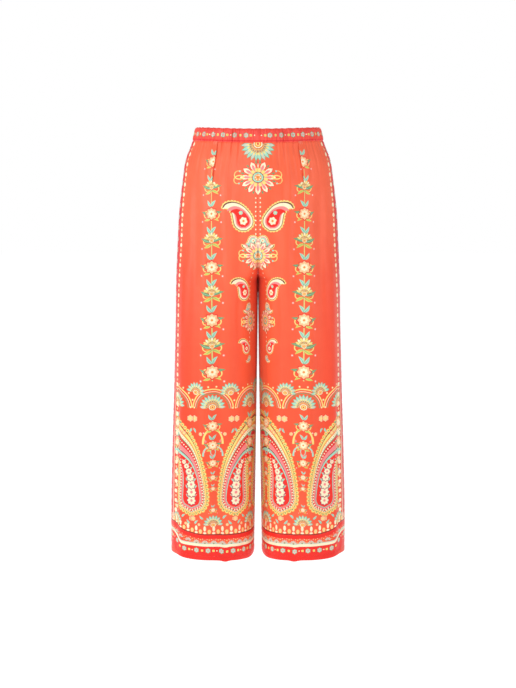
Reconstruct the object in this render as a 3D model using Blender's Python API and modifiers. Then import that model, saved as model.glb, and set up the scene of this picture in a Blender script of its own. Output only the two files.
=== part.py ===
"""Cropped wide-leg trousers: a pull-on pair in light cloth with a gathered elastic waistband.

Metres, +Z up. The front faces -Y and the wearer's left leg lies at +X. The origin is the centre of
the waist ring at half the height of the waistband. Each panel is one wall of cloth, hollow and open
at the waist and at both hems, as the cloth stands when it is worn.
"""

import functools

import bpy
import numpy as np

MM = 0.001

# ---- driving dimensions ----------------------------------------------------------------------
CLOTH_WALL = 1.2 * MM
CASING_WALL = 3.0 * MM      # two layers of cloth over an elastic
SEAM_GAP = 0.3 * MM
BAND_SEAM_GAP = 0.4 * MM    # between the band's foot and the panels' top edge
BAND_HEIGHT = 28.0 * MM
OUTSEAM_DROP = 889.0 * MM   # from the middle of the band to the hem
CROTCH_DROP = 296.0 * MM
FRONT_DIP = 6.0 * MM        # the waist is cut lower at the centre front
DIP_FADES = (0.020, 0.150)  # the dip fades out between these drops
LEG_GAP_AT_HEM = 17.0 * MM
LEG_GAP_CURVE = 1.2         # power by which the gap between the legs widens downwards
CROTCH_SETBACK = 12.0 * MM  # the crotch point lies this far behind the outseams

# The cloth's outer face, level by level. drop is measured down from the waist line.
SECTION_COLUMNS = ("drop", "half_width", "front_depth", "back_depth")
SECTIONS = (
    (-0.020, 0.1290, 0.0965, 0.0960),
    (0.000, 0.1325, 0.0980, 0.0980),
    (0.0145, 0.1365, 0.1000, 0.1010),
    (0.050, 0.1500, 0.1070, 0.1110),
    (0.095, 0.1575, 0.1130, 0.1210),
    (0.160, 0.1652, 0.1165, 0.1280),
    (0.220, 0.1688, 0.1160, 0.1290),
    (0.296, 0.1725, 0.1120, 0.1235),
    (0.390, 0.1745, 0.1050, 0.1130),
    (0.520, 0.1787, 0.0970, 0.1010),
    (0.670, 0.1842, 0.0910, 0.0930),
    (0.830, 0.1880, 0.0875, 0.0885),
    (0.920, 0.1875, 0.0870, 0.0870),
)

# The seam between the legs leaves the front and back of the body and curves in to the crotch point.
FRONT_RISE_TURN = 0.206
BACK_RISE_TURN = 0.200
PARTING_TOP = 0.140         # between these drops the one form of the hips becomes two round legs
PARTING_FOOT = 0.430
CUSP_TOP = 0.150            # the fold between the legs sharpens from here down to the crotch
ROUNDNESS_WAIST = 2.0       # superellipse powers of the sections
ROUNDNESS_LEG = 2.25

# The pleat: the outer part of the front laps over the inner part, and opens out downwards.
PLEAT_X_TOP = 81.0 * MM     # distance of its folded edge from the centre front, at the band
PLEAT_X_FOOT = 92.0 * MM    # the same where it has opened out, and of the crease line below it
PLEAT_FOOT_DROP = 0.1005
PLEAT_OPENS = (0.099, 0.120)
PLEAT_WIDENS = (PLEAT_FOOT_DROP, 0.300)
PLEAT_LAP = 10.0 * MM
PLEAT_CLOSING = 0.7         # power by which the lap grows shallower downwards
PLEAT_SHOULDER = 3.0 * MM   # the flat beside the fold on each layer
RIDGE_DROP = 0.060          # length of the soft ridge that runs on below the pleat
RIDGE_PLACE = 2.0 * MM
RIDGE_WIDTH = 5.0 * MM
LAYER_PITCH = 1.7 * MM      # from one layer of the pleat to the next
LAP_EASE = 4.0 * MM         # the top layer stays level this far past the lap, then comes down
LAP_SLOPE = 14.0 * MM

# Tucks that the elastic draws in the cloth: distance round the waist from the centre front,
# depth in the band and in the panel, how far down the panel they fade out (all in mm).
TUCK_COLUMNS = ("place", "band_depth", "panel_depth", "fade")
FRONT_TUCKS = (
    (13.0, 1.5, 0.6, 12.0),
    (27.0, 0.7, 0.8, 18.0),
    (40.0, 1.7, 1.2, 24.0),
    (53.0, 0.9, 2.0, 34.0),
    (74.0, 1.0, 1.8, 30.0),
    (94.0, 1.6, 0.8, 16.0),
    (103.0, 1.3, 1.0, 20.0),
    (121.0, 0.7, 1.1, 30.0),
    (142.0, 0.9, 1.0, 24.0),
    (163.0, 0.7, 0.9, 20.0),
)
BACK_TUCKS = (
    (10.0, 1.2, 1.2, 30.0),
    (25.0, 1.5, 1.6, 42.0),
    (41.0, 0.9, 1.3, 28.0),
    (56.0, 1.6, 1.8, 46.0),
    (73.0, 1.1, 1.3, 34.0),
    (88.0, 1.4, 1.7, 50.0),
    (106.0, 0.9, 1.2, 28.0),
    (122.0, 1.5, 1.6, 40.0),
    (139.0, 1.0, 1.1, 26.0),
    (156.0, 1.3, 1.3, 32.0),
    (172.0, 0.8, 0.9, 22.0),
)
TUCK_WIDTH = 5.0 * MM
BAND_ROWS = 4
BAND_PROUD = 0.9 * MM       # the casing's face stands this far outside the panels' face
BAND_ROUNDING = 0.8 * MM    # its top and bottom edges turn in
BAND_EDGE_POWER = 3         # and keep the turn close to the edge
BAND_EDGE_CALM = 0.35       # share by which the tucks are shallower at its edges

# The largest soft folds down the legs. place is the distance from the crease line, positive towards
# the outseam, in mm; a positive depth is a ridge and a negative one a trough, in mm, on each leg.
FOLD_COLUMNS = ("place", "top", "foot", "width", "depth_left", "depth_right")
FRONT_FOLDS = (
    (-62.0, 0.05, 0.33, 16.0, -2.5, -3.0),
    (-38.0, 0.07, 0.62, 15.0, 2.4, 2.0),
    (-12.0, 0.16, 0.86, 15.0, -3.0, -3.4),
    (14.0, 0.12, 0.93, 16.0, 3.2, 3.0),
    (44.0, 0.05, 0.80, 17.0, -3.0, -2.4),
    (72.0, 0.22, 0.95, 15.0, 2.0, 2.6),
    (-46.0, 0.60, 0.97, 15.0, 3.2, 2.6),
)
BACK_FOLDS = (
    (-70.0, 0.06, 0.34, 17.0, -2.6, -2.2),
    (-44.0, 0.28, 0.95, 17.0, 3.2, 3.6),
    (-14.0, 0.24, 0.97, 17.0, -3.8, -3.2),
    (18.0, 0.05, 0.72, 17.0, 3.0, 2.6),
    (20.0, 0.74, 0.99, 16.0, 2.8, 3.4),
    (48.0, 0.10, 0.95, 18.0, -3.2, -3.8),
    (78.0, 0.26, 0.90, 16.0, 2.4, 2.0),
)
FOLD_STARTS_OVER = 0.10     # a fold deepens over this much of its length, and fades over that
FOLD_ENDS_OVER = 0.12
SEAM_CALM = 26.0 * MM       # folds die away this near to a seam

# Levels of the panels' rows, below the band
UPPER_DROPS = (0.024, 0.036, 0.052, 0.072, 0.089, 0.099, 0.106, 0.120, 0.150)
RISE_TOP = 0.180
RISE_STEPS = 9              # rows along the curve of the rise
FAN_START = 0.35            # and they fan out over this share of the panel's width and more
LEG_DROPS = (0.320, 0.365, 0.430, 0.515, 0.600, 0.685, 0.770, 0.845)
CENTRE_COLUMNS = 11         # from the pleat to the inner seam, the first few up to the turn
CENTRE_TURN = 6
SIDE_COLUMNS = 12           # from the pleat to the outseam
BACK_COLUMNS = 22
BACK_TURN = 16
TURN_SHARE = 0.4            # the leg counts as turned in at this share of the way to its crown
FLAT_SHARE = 0.55           # where nothing turns in, the same columns end at this share
TURN_LEVELS = (0.120, 0.240)
EVEN_LEVELS = (0.050, 0.200)  # between these drops the columns leave the tucks for even steps
OPEN_PLEAT_HALF = 9.0 * MM  # half the width that the pleat's points span where it has just opened
CREASE_HALF = 30.0 * MM     # and further down the leg
SAMPLES = 160               # points along each half of a section, before it is divided evenly
SHORTEST_STEP = 1e-9        # points closer than this are one

CLOTH_COLOUR = (0.990, 0.155, 0.071, 1.0)
BAND_COLOUR = (0.945, 0.095, 0.077, 1.0)
CLOTH_ROUGHNESS = 0.42


def soft_step(value, start, end):
    """0 before start, 1 after end, and smooth between them."""
    part = np.clip((value - start) / (end - start), 0.0, 1.0)
    return part * part * (3.0 - 2.0 * part)


def at_drop(column, drop):
    """A column of the sections' table at any drop, on a smooth curve through its rows."""
    drops = np.array([row[0] for row in SECTIONS])
    values = np.array([row[SECTION_COLUMNS.index(column)] for row in SECTIONS])
    slopes = np.gradient(values, drops)
    i = int(np.clip(np.searchsorted(drops, drop) - 1, 0, len(drops) - 2))
    step = drops[i + 1] - drops[i]
    u = (drop - drops[i]) / step
    low = (1 + 2 * u) * (1 - u) ** 2 * values[i] + u * (1 - u) ** 2 * step * slopes[i]
    high = u * u * (3 - 2 * u) * values[i + 1] + u * u * (u - 1) * step * slopes[i + 1]
    return low + high


def crease_x(drop):
    """Distance of the pleat's edge, and of the crease line below it, from the centre plane."""
    return PLEAT_X_TOP + (PLEAT_X_FOOT - PLEAT_X_TOP) * soft_step(drop, 0.0, PLEAT_FOOT_DROP)


def inner_edge(face, drop):
    """(x, y) of the seam between the legs: the rise above the crotch point, the inseam below it."""
    depth = at_drop(face + "_depth", drop)
    way = -1.0 if face == "front" else 1.0
    if drop >= CROTCH_DROP:
        down = (drop - CROTCH_DROP) / (OUTSEAM_DROP - CROTCH_DROP)
        x = SEAM_GAP / 2 + (LEG_GAP_AT_HEM - SEAM_GAP) / 2 * down ** LEG_GAP_CURVE
        return x, CROTCH_SETBACK * (1.0 - down) + way * SEAM_GAP / 2
    turn = FRONT_RISE_TURN if face == "front" else BACK_RISE_TURN
    along = np.clip((drop - turn) / (CROTCH_DROP - turn), 0.0, 1.0)
    reach = depth - way * CROTCH_SETBACK
    return SEAM_GAP / 2, way * (depth - (reach - SEAM_GAP / 2) * (1.0 - np.sqrt(1.0 - along ** 2)))


def crown_x(drop):
    """How far out from the inner seam the front or back of the leg stands proudest."""
    inner_x = inner_edge("front", drop)[0]
    parting = soft_step(drop, PARTING_TOP, PARTING_FOOT)
    return (at_drop("half_width", drop) - inner_x) / 2 * parting


def half_section(face, drop):
    """The outer face of one panel at one level, from the inner seam round to the outseam."""
    way = -1.0 if face == "front" else 1.0
    half_width = at_drop("half_width", drop)
    depth = at_drop(face + "_depth", drop)
    inner_x, inner_y = inner_edge(face, drop)
    parting = soft_step(drop, PARTING_TOP, PARTING_FOOT)
    crown = inner_x + crown_x(drop)
    cusp = soft_step(drop, CUSP_TOP, CROTCH_DROP)
    power = ROUNDNESS_WAIST + (ROUNDNESS_LEG - ROUNDNESS_WAIST) * parting
    turn = np.linspace(0.0, np.pi / 2, SAMPLES)

    across = 1.0 - np.cos(turn) ** (2.0 / power)
    rounded = np.sin(turn) ** (2.0 / power)
    draped = (1.0 - np.cos(np.pi * across)) / 2
    rise = (1.0 - cusp) * draped + cusp * rounded
    inner = np.stack([inner_x + (crown - inner_x) * across,
                      inner_y + (way * depth - inner_y) * rise], axis=1)

    side_y = way * SEAM_GAP / 2
    outer = np.stack([crown + (half_width - crown) * np.sin(turn) ** (2.0 / power),
                      side_y + (way * depth - side_y) * np.cos(turn) ** (2.0 / power)], axis=1)
    points = np.concatenate([inner, outer[1:]])
    moved = np.linalg.norm(np.diff(points, axis=0), axis=1) > SHORTEST_STEP
    return points[np.concatenate([[True], moved])]


class Level:
    """One level of a panel: places on it are arc lengths from the crease line, + to the outseam."""

    def __init__(self, face, drop):
        self.face, self.drop = face, drop
        self.points = half_section(face, drop)
        steps = np.linalg.norm(np.diff(self.points, axis=0), axis=1)
        self.arc = np.concatenate([[0.0], np.cumsum(steps)])
        self.arc -= np.interp(crease_x(drop), self.points[:, 0], self.arc)
        self.inner, self.outer = self.arc[0], self.arc[-1]
        turned_x = TURN_SHARE * crown_x(drop)
        turned = np.interp(turned_x, self.points[:, 0], self.arc)
        flat = FLAT_SHARE * self.inner
        self.turn = flat + (turned - flat) * soft_step(drop, *TURN_LEVELS)

    def place(self, along):
        """(x, y) on the smooth section."""
        return np.array([np.interp(along, self.arc, self.points[:, i]) for i in (0, 1)])

    def outward(self, along):
        """The section's outward direction."""
        reach = 2.0 * MM
        ahead = self.place(min(along + reach, self.outer))
        behind = self.place(max(along - reach, self.inner))
        x, y = ahead - behind
        length = np.hypot(x, y)
        return np.array([y, -x]) / length if self.face == "front" else np.array([-y, x]) / length


def dip(face, drop, y):
    """How far the waist hangs lower here than at the outseams."""
    if face == "back":
        return 0.0
    forward = np.clip(-y / at_drop("front_depth", drop), 0.0, 1.0)
    return FRONT_DIP * forward ** 2 * (1.0 - soft_step(drop, *DIP_FADES))


@functools.lru_cache
def waist_arc(face):
    """Arc lengths (to the centre seam, to the outseam) from the crease line at the band's foot."""
    level = Level(face, BAND_HEIGHT / 2)
    return -level.inner, level.outer


def tuck_relief(face, from_centre, below, which):
    """How far the tucks draw the cloth in, at a distance round the waist from the centre seam."""
    tucks = FRONT_TUCKS if face == "front" else BACK_TUCKS
    depth_at = TUCK_COLUMNS.index(which)
    relief = 0.0
    for tuck in tucks:
        near = np.exp(-((from_centre - tuck[0] * MM) / TUCK_WIDTH) ** 2)
        fade = np.exp(-max(below, 0.0) / (tuck[3] * MM)) if which == "panel_depth" else 1.0
        relief += tuck[depth_at] * MM * near * fade
    return -relief


def fold_relief(face, side, level, along):
    """How far the soft folds move the cloth out (or in, if negative)."""
    folds = FRONT_FOLDS if face == "front" else BACK_FOLDS
    depth_at = FOLD_COLUMNS.index("depth_" + side)
    relief = 0.0
    for fold in folds:
        place, top, foot, width = fold[0] * MM, fold[1], fold[2], fold[3] * MM
        length = soft_step(level.drop, top, top + FOLD_STARTS_OVER)
        length *= 1.0 - soft_step(level.drop, foot - FOLD_ENDS_OVER, foot)
        relief += fold[depth_at] * MM * length * np.exp(-((along - place) / width) ** 2)
    to_seam = min(along - level.inner, level.outer - along)
    return relief * soft_step(to_seam, 0.0, SEAM_CALM)


def pleat_lap(drop):
    """Depth of the pleat's lap at this level, 0 where it has opened out."""
    along = (drop - BAND_HEIGHT / 2) / (PLEAT_FOOT_DROP - BAND_HEIGHT / 2)
    return PLEAT_LAP * max(1.0 - along, 0.0) ** PLEAT_CLOSING


def pleat_profile(drop):
    """(along, lift) of the pleat's points, from the top layer's side to the under layer's side."""
    lap, pitch = pleat_lap(drop), LAYER_PITCH
    bend = min(pitch / 2, lap)
    folded = np.array([(PLEAT_SHOULDER, 2 * pitch), (0.0, 2 * pitch), (-bend, 1.5 * pitch),
                       (0.0, pitch), (lap, pitch), (lap + bend, pitch / 2), (lap, 0.0),
                       (-PLEAT_SHOULDER, 0.0)])
    widening = soft_step(drop, *PLEAT_WIDENS)
    half = OPEN_PLEAT_HALF + (CREASE_HALF - OPEN_PLEAT_HALF) * widening
    spread = np.linspace(half, -half, len(folded))
    height = pitch * (1.0 - soft_step(drop, PLEAT_FOOT_DROP, PLEAT_FOOT_DROP + RIDGE_DROP))
    ridge = height * np.exp(-((spread - RIDGE_PLACE) / RIDGE_WIDTH) ** 2)
    opened = np.stack([spread, ridge], axis=1)
    share = soft_step(drop, *PLEAT_OPENS)
    return [tuple(point) for point in folded + (opened - folded) * share]


def lap_lift(drop, along):
    """The top layer rides over the pleat, then comes down to the panel's own form."""
    lap = pleat_lap(drop)
    if lap == 0.0:
        return 0.0
    level_to = lap + LAP_EASE
    return 2 * LAYER_PITCH * (1.0 - soft_step(along, level_to, level_to + LAP_SLOPE))


def tuck_shares(marks, count):
    """Column places as shares of a length: on each tuck and between them, spread to count steps."""
    marks = np.array(sorted(marks))
    middles = (np.concatenate([[0.0], marks]) + np.concatenate([marks, [1.0]])) / 2
    columns = np.sort(np.concatenate([[0.0], marks, middles, [1.0]]))
    return np.interp(np.linspace(0, 1, count + 1), np.linspace(0, 1, len(columns)), columns)


def run_inward(level, start, shares, turn_step):
    """Column places from start to the inner seam. Near the waist they keep to the tucks; lower down
    turn_step of them reach to where the leg turns in, and the rest share the flat inner side."""
    count = len(shares) - 1
    at_tucks = start + (level.inner - start) * shares
    even = np.interp(np.arange(count + 1), [0, turn_step, count], [start, level.turn, level.inner])
    evenness = soft_step(level.drop, *EVEN_LEVELS)
    return at_tucks + (even - at_tucks) * evenness


def front_columns(level):
    """(along, lift) of every column of a front panel at one level, outseam first."""
    to_centre, to_side = waist_arc("front")
    profile = pleat_profile(level.drop)
    first, last = profile[0][0], profile[-1][0]
    side_marks = [(t[0] * MM - to_centre) / to_side for t in FRONT_TUCKS if t[0] * MM > to_centre]
    centre_marks = [1 - t[0] * MM / to_centre for t in FRONT_TUCKS if t[0] * MM < to_centre]
    side = tuck_shares(side_marks, SIDE_COLUMNS)
    side += (np.linspace(0, 1, SIDE_COLUMNS + 1) - side) * soft_step(level.drop, *EVEN_LEVELS)
    outer = first + (level.outer - first) * side[:0:-1]
    inner = run_inward(level, last, tuck_shares(centre_marks, CENTRE_COLUMNS), CENTRE_TURN)[1:]
    return [(a, lap_lift(level.drop, a)) for a in outer] + profile + [(a, 0.0) for a in inner]


def back_columns(level):
    """(along, lift) of every column of a back panel at one level, outseam first."""
    whole = sum(waist_arc("back"))
    marks = [1 - t[0] * MM / whole for t in BACK_TUCKS]
    shares = tuck_shares(marks, BACK_COLUMNS)
    return [(a, 0.0) for a in run_inward(level, level.outer, shares, BACK_TURN)]


def row_drops(share):
    """Levels of a panel's rows at one share of the way from the outseam to the inner seam.

    The rows run level, but along the rise they draw together at the inner seam, to follow its curve.
    """
    closeness = soft_step(share, FAN_START, 1.0)
    even = np.linspace(0.0, 1.0, RISE_STEPS)
    curved = np.sin(even * np.pi / 2)
    rise = RISE_TOP + (CROTCH_DROP - RISE_TOP) * (even + (curved - even) * closeness)
    return [BAND_HEIGHT / 2 + BAND_SEAM_GAP, *UPPER_DROPS, *rise, *LEG_DROPS, OUTSEAM_DROP]


def panel_grid(face, side):
    """Rows of points on the middle of the panel's wall, for the leg at +X."""
    to_centre, to_side = waist_arc(face)
    columns_at = front_columns if face == "front" else back_columns
    last = len(columns_at(Level(face, CROTCH_DROP))) - 1
    columns = []
    for column in range(last + 1):
        points = []
        for drop in row_drops(column / last):
            level = Level(face, drop)
            along, lift = columns_at(level)[column]
            share = along / level.outer * to_side if along > 0 else along / -level.inner * to_centre
            below = drop - BAND_HEIGHT / 2
            relief = lift + fold_relief(face, side, level, along)
            relief += tuck_relief(face, to_centre + share, below, "panel_depth")
            x, y = level.place(along) + level.outward(along) * (relief - CLOTH_WALL / 2)
            points.append((x, y, -drop - dip(face, drop, y)))
        columns.append(points)
    return clear_of_middle(np.array(columns).transpose(1, 0, 2), face)


def clear_of_middle(grid, face):
    """Sets the inner seam's points so that the wall's own face just reaches the seam."""
    across = grid[:, -1] - grid[:, -2]
    down = np.gradient(grid[:, -1], axis=0)
    normals = np.cross(across, down)
    normals /= np.linalg.norm(normals, axis=1, keepdims=True)
    for row, drop in enumerate(row_drops(1.0)):
        grid[row, -1, 0] = inner_edge(face, drop)[0] + abs(normals[row, 0]) * CLOTH_WALL / 2
    return grid


def band_places():
    """Distances round the waist of the band's columns, from the centre front to the centre back."""
    to_side = sum(waist_arc("front"))
    whole = to_side + sum(waist_arc("back"))
    tucks = [t[0] * MM for t in FRONT_TUCKS] + [whole - t[0] * MM for t in reversed(BACK_TUCKS)]
    ends = np.array([0.0, *tucks, whole])
    middles = (ends[1:] + ends[:-1]) / 2
    return to_side, whole, np.sort(np.concatenate([ends, middles]))


def band_grid():
    """Rows of points on the middle of the casing's wall, for the half at +X."""
    to_side, whole, places = band_places()
    rows = []
    for height in np.linspace(BAND_HEIGHT / 2, -BAND_HEIGHT / 2, BAND_ROWS + 1):
        levels = {face: Level(face, -height) for face in ("front", "back")}
        edge = abs(height) / (BAND_HEIGHT / 2)
        row = []
        for distance in places:
            face = "front" if distance <= to_side else "back"
            level = levels[face]
            from_centre = distance if face == "front" else whole - distance
            length = level.outer - level.inner
            share = from_centre / (to_side if face == "front" else whole - to_side)
            along = level.inner + share * length
            relief = tuck_relief(face, from_centre, 0.0, "band_depth") * (1.0 - BAND_EDGE_CALM * edge)
            relief += BAND_PROUD - CASING_WALL / 2 - BAND_ROUNDING * edge ** BAND_EDGE_POWER
            x, y = level.place(along) + level.outward(along) * relief
            row.append((x, y, height - dip(face, 0.0, y)))
        rows.append(row)
    return np.array(rows)


def add_wall(name, grid, wall, colour, mirrored, collection):
    """One piece of cloth: an open surface through the grid, thickened with Solidify."""
    points = grid.copy()
    if mirrored:
        points[:, :, 0] *= -1
    rows, columns = points.shape[:2]
    faces = []
    for r in range(rows - 1):
        for c in range(columns - 1):
            corner = r * columns + c
            faces.append((corner, corner + 1, corner + columns + 1, corner + columns))
    mesh = bpy.data.meshes.new(name)
    mesh.from_pydata(points.reshape(-1, 3).tolist(), [], faces)
    mesh.update()
    mesh.shade_smooth()
    piece = bpy.data.objects.new(name, mesh)
    solidify = piece.modifiers.new("cloth wall", "SOLIDIFY")
    solidify.thickness = wall
    solidify.offset = 0.0
    material = bpy.data.materials.new(name + "_cloth")
    material.use_nodes = True
    shader = material.node_tree.nodes["Principled BSDF"]
    shader.inputs["Base Color"].default_value = colour
    shader.inputs["Roughness"].default_value = CLOTH_ROUGHNESS
    shader.inputs["Metallic"].default_value = 0.0
    mesh.materials.append(material)
    collection.objects.link(piece)
    return piece


def main():
    for old in list(bpy.data.objects):
        bpy.data.objects.remove(old)
    collection = bpy.data.collections.new("cropped_trousers")
    bpy.context.scene.collection.children.link(collection)
    for side in ("left", "right"):
        for face in ("front", "back"):
            grid = panel_grid(face, side)
            add_wall(face + "_" + side, grid, CLOTH_WALL, CLOTH_COLOUR, side == "right", collection)
        add_wall("waistband_" + side, band_grid(), CASING_WALL, BAND_COLOUR, side == "right", collection)


main()
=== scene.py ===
"""Cropped wide-leg trousers: light satin with a printed ornament, hollow as worn, open at waist and hems.

Metres, +Z up, the front faces -Y, the wearer's left leg at +X and the origin in the middle of the
waist ring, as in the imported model. Cloth is worked out in millimetres: a place on a panel is
(across, drop), the distance along the cloth from the crease line, positive towards the outseam, and
the distance below the waist line. Each panel is one closed thin shell. Its outer side is cut along
the edges of the printed motifs, so each face carries the number of its ink.
"""
import math

import bpy
import numpy as np
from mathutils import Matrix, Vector
from mathutils.geometry import delaunay_2d_cdt


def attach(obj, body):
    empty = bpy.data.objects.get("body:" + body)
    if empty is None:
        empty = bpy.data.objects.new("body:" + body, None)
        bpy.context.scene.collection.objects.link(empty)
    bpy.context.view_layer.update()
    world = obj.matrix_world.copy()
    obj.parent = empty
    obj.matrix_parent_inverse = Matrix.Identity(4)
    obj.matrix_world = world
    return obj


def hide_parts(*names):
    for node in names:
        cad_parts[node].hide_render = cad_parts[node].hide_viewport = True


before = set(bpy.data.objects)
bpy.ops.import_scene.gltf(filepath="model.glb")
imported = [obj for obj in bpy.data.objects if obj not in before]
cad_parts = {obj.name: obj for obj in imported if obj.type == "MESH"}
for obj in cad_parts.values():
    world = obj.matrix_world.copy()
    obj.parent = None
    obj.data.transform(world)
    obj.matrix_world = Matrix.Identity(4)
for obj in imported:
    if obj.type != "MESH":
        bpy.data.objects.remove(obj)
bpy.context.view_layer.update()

MM = 0.001

# ---- the cut, the same as in the solids, in metres --------------------------------------------
SEAM_GAP = 0.00003   # sewn edges all but touch here
BAND_HEIGHT = 0.028
OUTSEAM_DROP = 0.889
CROTCH_DROP = 0.296
FRONT_DIP = 0.006
DIP_FADES = (0.020, 0.150)
LEG_GAP_AT_HEM = 0.017
LEG_GAP_CURVE = 1.2
CROTCH_SETBACK = 0.012
FRONT_RISE_TURN = 0.206
BACK_RISE_TURN = 0.200
PARTING = (0.140, 0.430)
CUSP_TOP = 0.150
ROUNDNESS = (2.0, 2.25)
CREASE_X = (0.081, 0.092)
PLEAT_FOOT = 0.1005
SECTION_COLUMNS = ("drop", "half_width", "front_depth", "back_depth")
SECTIONS = (
    (-0.020, 0.1290, 0.0965, 0.0960),
    (0.000, 0.1325, 0.0980, 0.0980),
    (0.0145, 0.1365, 0.1000, 0.1010),
    (0.050, 0.1500, 0.1070, 0.1110),
    (0.095, 0.1575, 0.1130, 0.1210),
    (0.160, 0.1652, 0.1165, 0.1280),
    (0.220, 0.1688, 0.1160, 0.1290),
    (0.296, 0.1725, 0.1120, 0.1235),
    (0.390, 0.1745, 0.1050, 0.1130),
    (0.520, 0.1787, 0.0970, 0.1010),
    (0.670, 0.1842, 0.0910, 0.0930),
    (0.830, 0.1880, 0.0875, 0.0885),
    (0.920, 0.1875, 0.0870, 0.0870),
)
SAMPLES = 160
SHORTEST_STEP = 1e-9

# ---- cloth, in millimetres --------------------------------------------------------------------
HEM = OUTSEAM_DROP / MM
BAND_FOOT = BAND_HEIGHT / MM / 2
PANEL_TOP = BAND_FOOT - 0.6   # the panel's raw edge is caught under the waistband's edge
TOP_PRESSED = (1.1, 3)   # how far the waistband presses it in, and over what height
CLOTH_THICKNESS = 0.6
CASING_THICKNESS = 2.4
BAND_FULLNESS = 1.3   # length of its cloth, drawn up on the elastic, for each length round the waist

PLEAT_LAP = 10
PLEAT_CLOSING = 0.7
LAYER_PITCH = 1.6   # from one layer of the pleat to the next
LAYERS_PRESSED = (0.3, 22)   # share of the pitch at the waistband, and the height over which it opens
LAYERS_CLOSE_AT = 3   # lap below which the layers close together
LAP_EASE = 4
LAP_SLOPE = 14
CREASE_RIDGE = (0.9, 2, 4.5)   # height, place and width of the ridge that goes on below the pleat
CREASE_RIDGE_DROPS = (10, 90)   # how far from the pleat's foot it rises and fades

SEAM_CALM = 22   # folds fade out this close to a seam
SEAM_ROLL = (1, 1.8)   # how far a sewn edge rolls in, and over what width
SEAM_PROUD = (0.3, 4, 2.4)   # height, place and width of the low ridge beside it
SEAM_PUCKER = (0.22, 6)   # height and reach
SEAM_RIPPLE = (0.47, 0.031, 1.5)   # turn for each millimetre, turn of its drift, and the drift's swing
HEM_FOLD = 9
HEM_PROUD = (0.35, 0.7)   # how far the hem's layers stand out, and half the width of their edge
HEM_DENT = (0.3, 0.9)   # depth and width of the line that its stitches draw in
HEM_PUCKER = (0.2, 5)
HEM_RIPPLE = (0.52, 0.11)
GATHERS = (0.16, 7)   # height of the small gathers under the waistband, and how they fade
GATHER_WAVES = ((0.83, 0), (1.31, 2))   # turn for each millimetre, and the turn at its start
HEM_SWAY = (0.8, 0.045, 700)   # the back hem's rise and fall, its turn for each millimetre, and its start
DIP_FORWARD = {"panel": 105, "band": 98}   # distance in front of the side seams where the dip is full

BAND_TUCKS = (1.15, 0.55, 0.7)   # depth and width of its tucks for those of the panels, and depth at its top
BAND_GATHERS = 0.26
BAND_PLUMP = 1.5
BAND_EDGE_ROLL = 1.6
BAND_CALM = 0.3   # share by which its gathers flatten towards both edges
BAND_OUT = 0.2
BAND_RUFFLE = (0.35, 6)   # height of the ruffled top edge, and where it starts above the middle
BAND_RIPPLE = (0.39, 0.13)
BAND_STITCH_UP = 2.2
BAND_STITCH_DENT = (0.45, 0.8)

FLOAT_PITCH = (0.62, 1.9)   # across and down, of the satin's long floats
THREAD_PITCH = (0.31, 0.44)
WEAVE_HEIGHTS = (0.02, 0.015, 1.1)   # of the floats, the threads and the cloth's soft unevenness
STITCH_LENGTH, STITCH_WIDTH, STITCH_PITCH = 2.3, 0.5, 3.1
STITCH_RISE = (0.7, 0.4)   # height for its width, and the share of that which sinks into the cloth

# tucks at the waist: place from the centre seam, depth, height over which it fades, width
TUCKS = {
    "front": ((6, 0.7, 18, 1.8), (13, 1.2, 21, 2.4), (20, 0.7, 14, 1.8), (27, 1.2, 30, 3),
              (38.5, 2.7, 45, 2.6), (46, 1.1, 18, 2), (53, 3.1, 45, 2.6), (63, 1.1, 60, 4),
              (74, 2.7, 39, 2.4), (94, 1.5, 21, 2.2), (103, 1.6, 27, 2.6), (112, 0.9, 15, 2),
              (121, 1.9, 39, 3), (132, 0.9, 18, 2), (142, 1.6, 33, 2.8), (153, 0.9, 15, 2),
              (163, 1.5, 27, 2.8)),
    "back": ((5, 1.1, 21, 2), (12, 2.2, 45, 2.8), (19, 1.2, 21, 2), (27, 2.7, 60, 3),
             (35, 1.2, 18, 2), (43, 2.4, 39, 2.6), (50, 1.1, 18, 1.8), (58, 3.1, 66, 3),
             (66, 1.2, 21, 2), (74, 2.4, 48, 2.6), (82, 1.2, 18, 2), (90, 3, 69, 3),
             (99, 1.2, 21, 2), (107, 2.2, 39, 2.6), (115, 1.1, 18, 2), (124, 2.7, 57, 3),
             (132, 1.1, 18, 2), (140, 2, 36, 2.6), (149, 1.1, 18, 2), (158, 2.2, 45, 2.8),
             (167, 1.1, 18, 2), (175, 1.6, 30, 2.6)),
}

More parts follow.
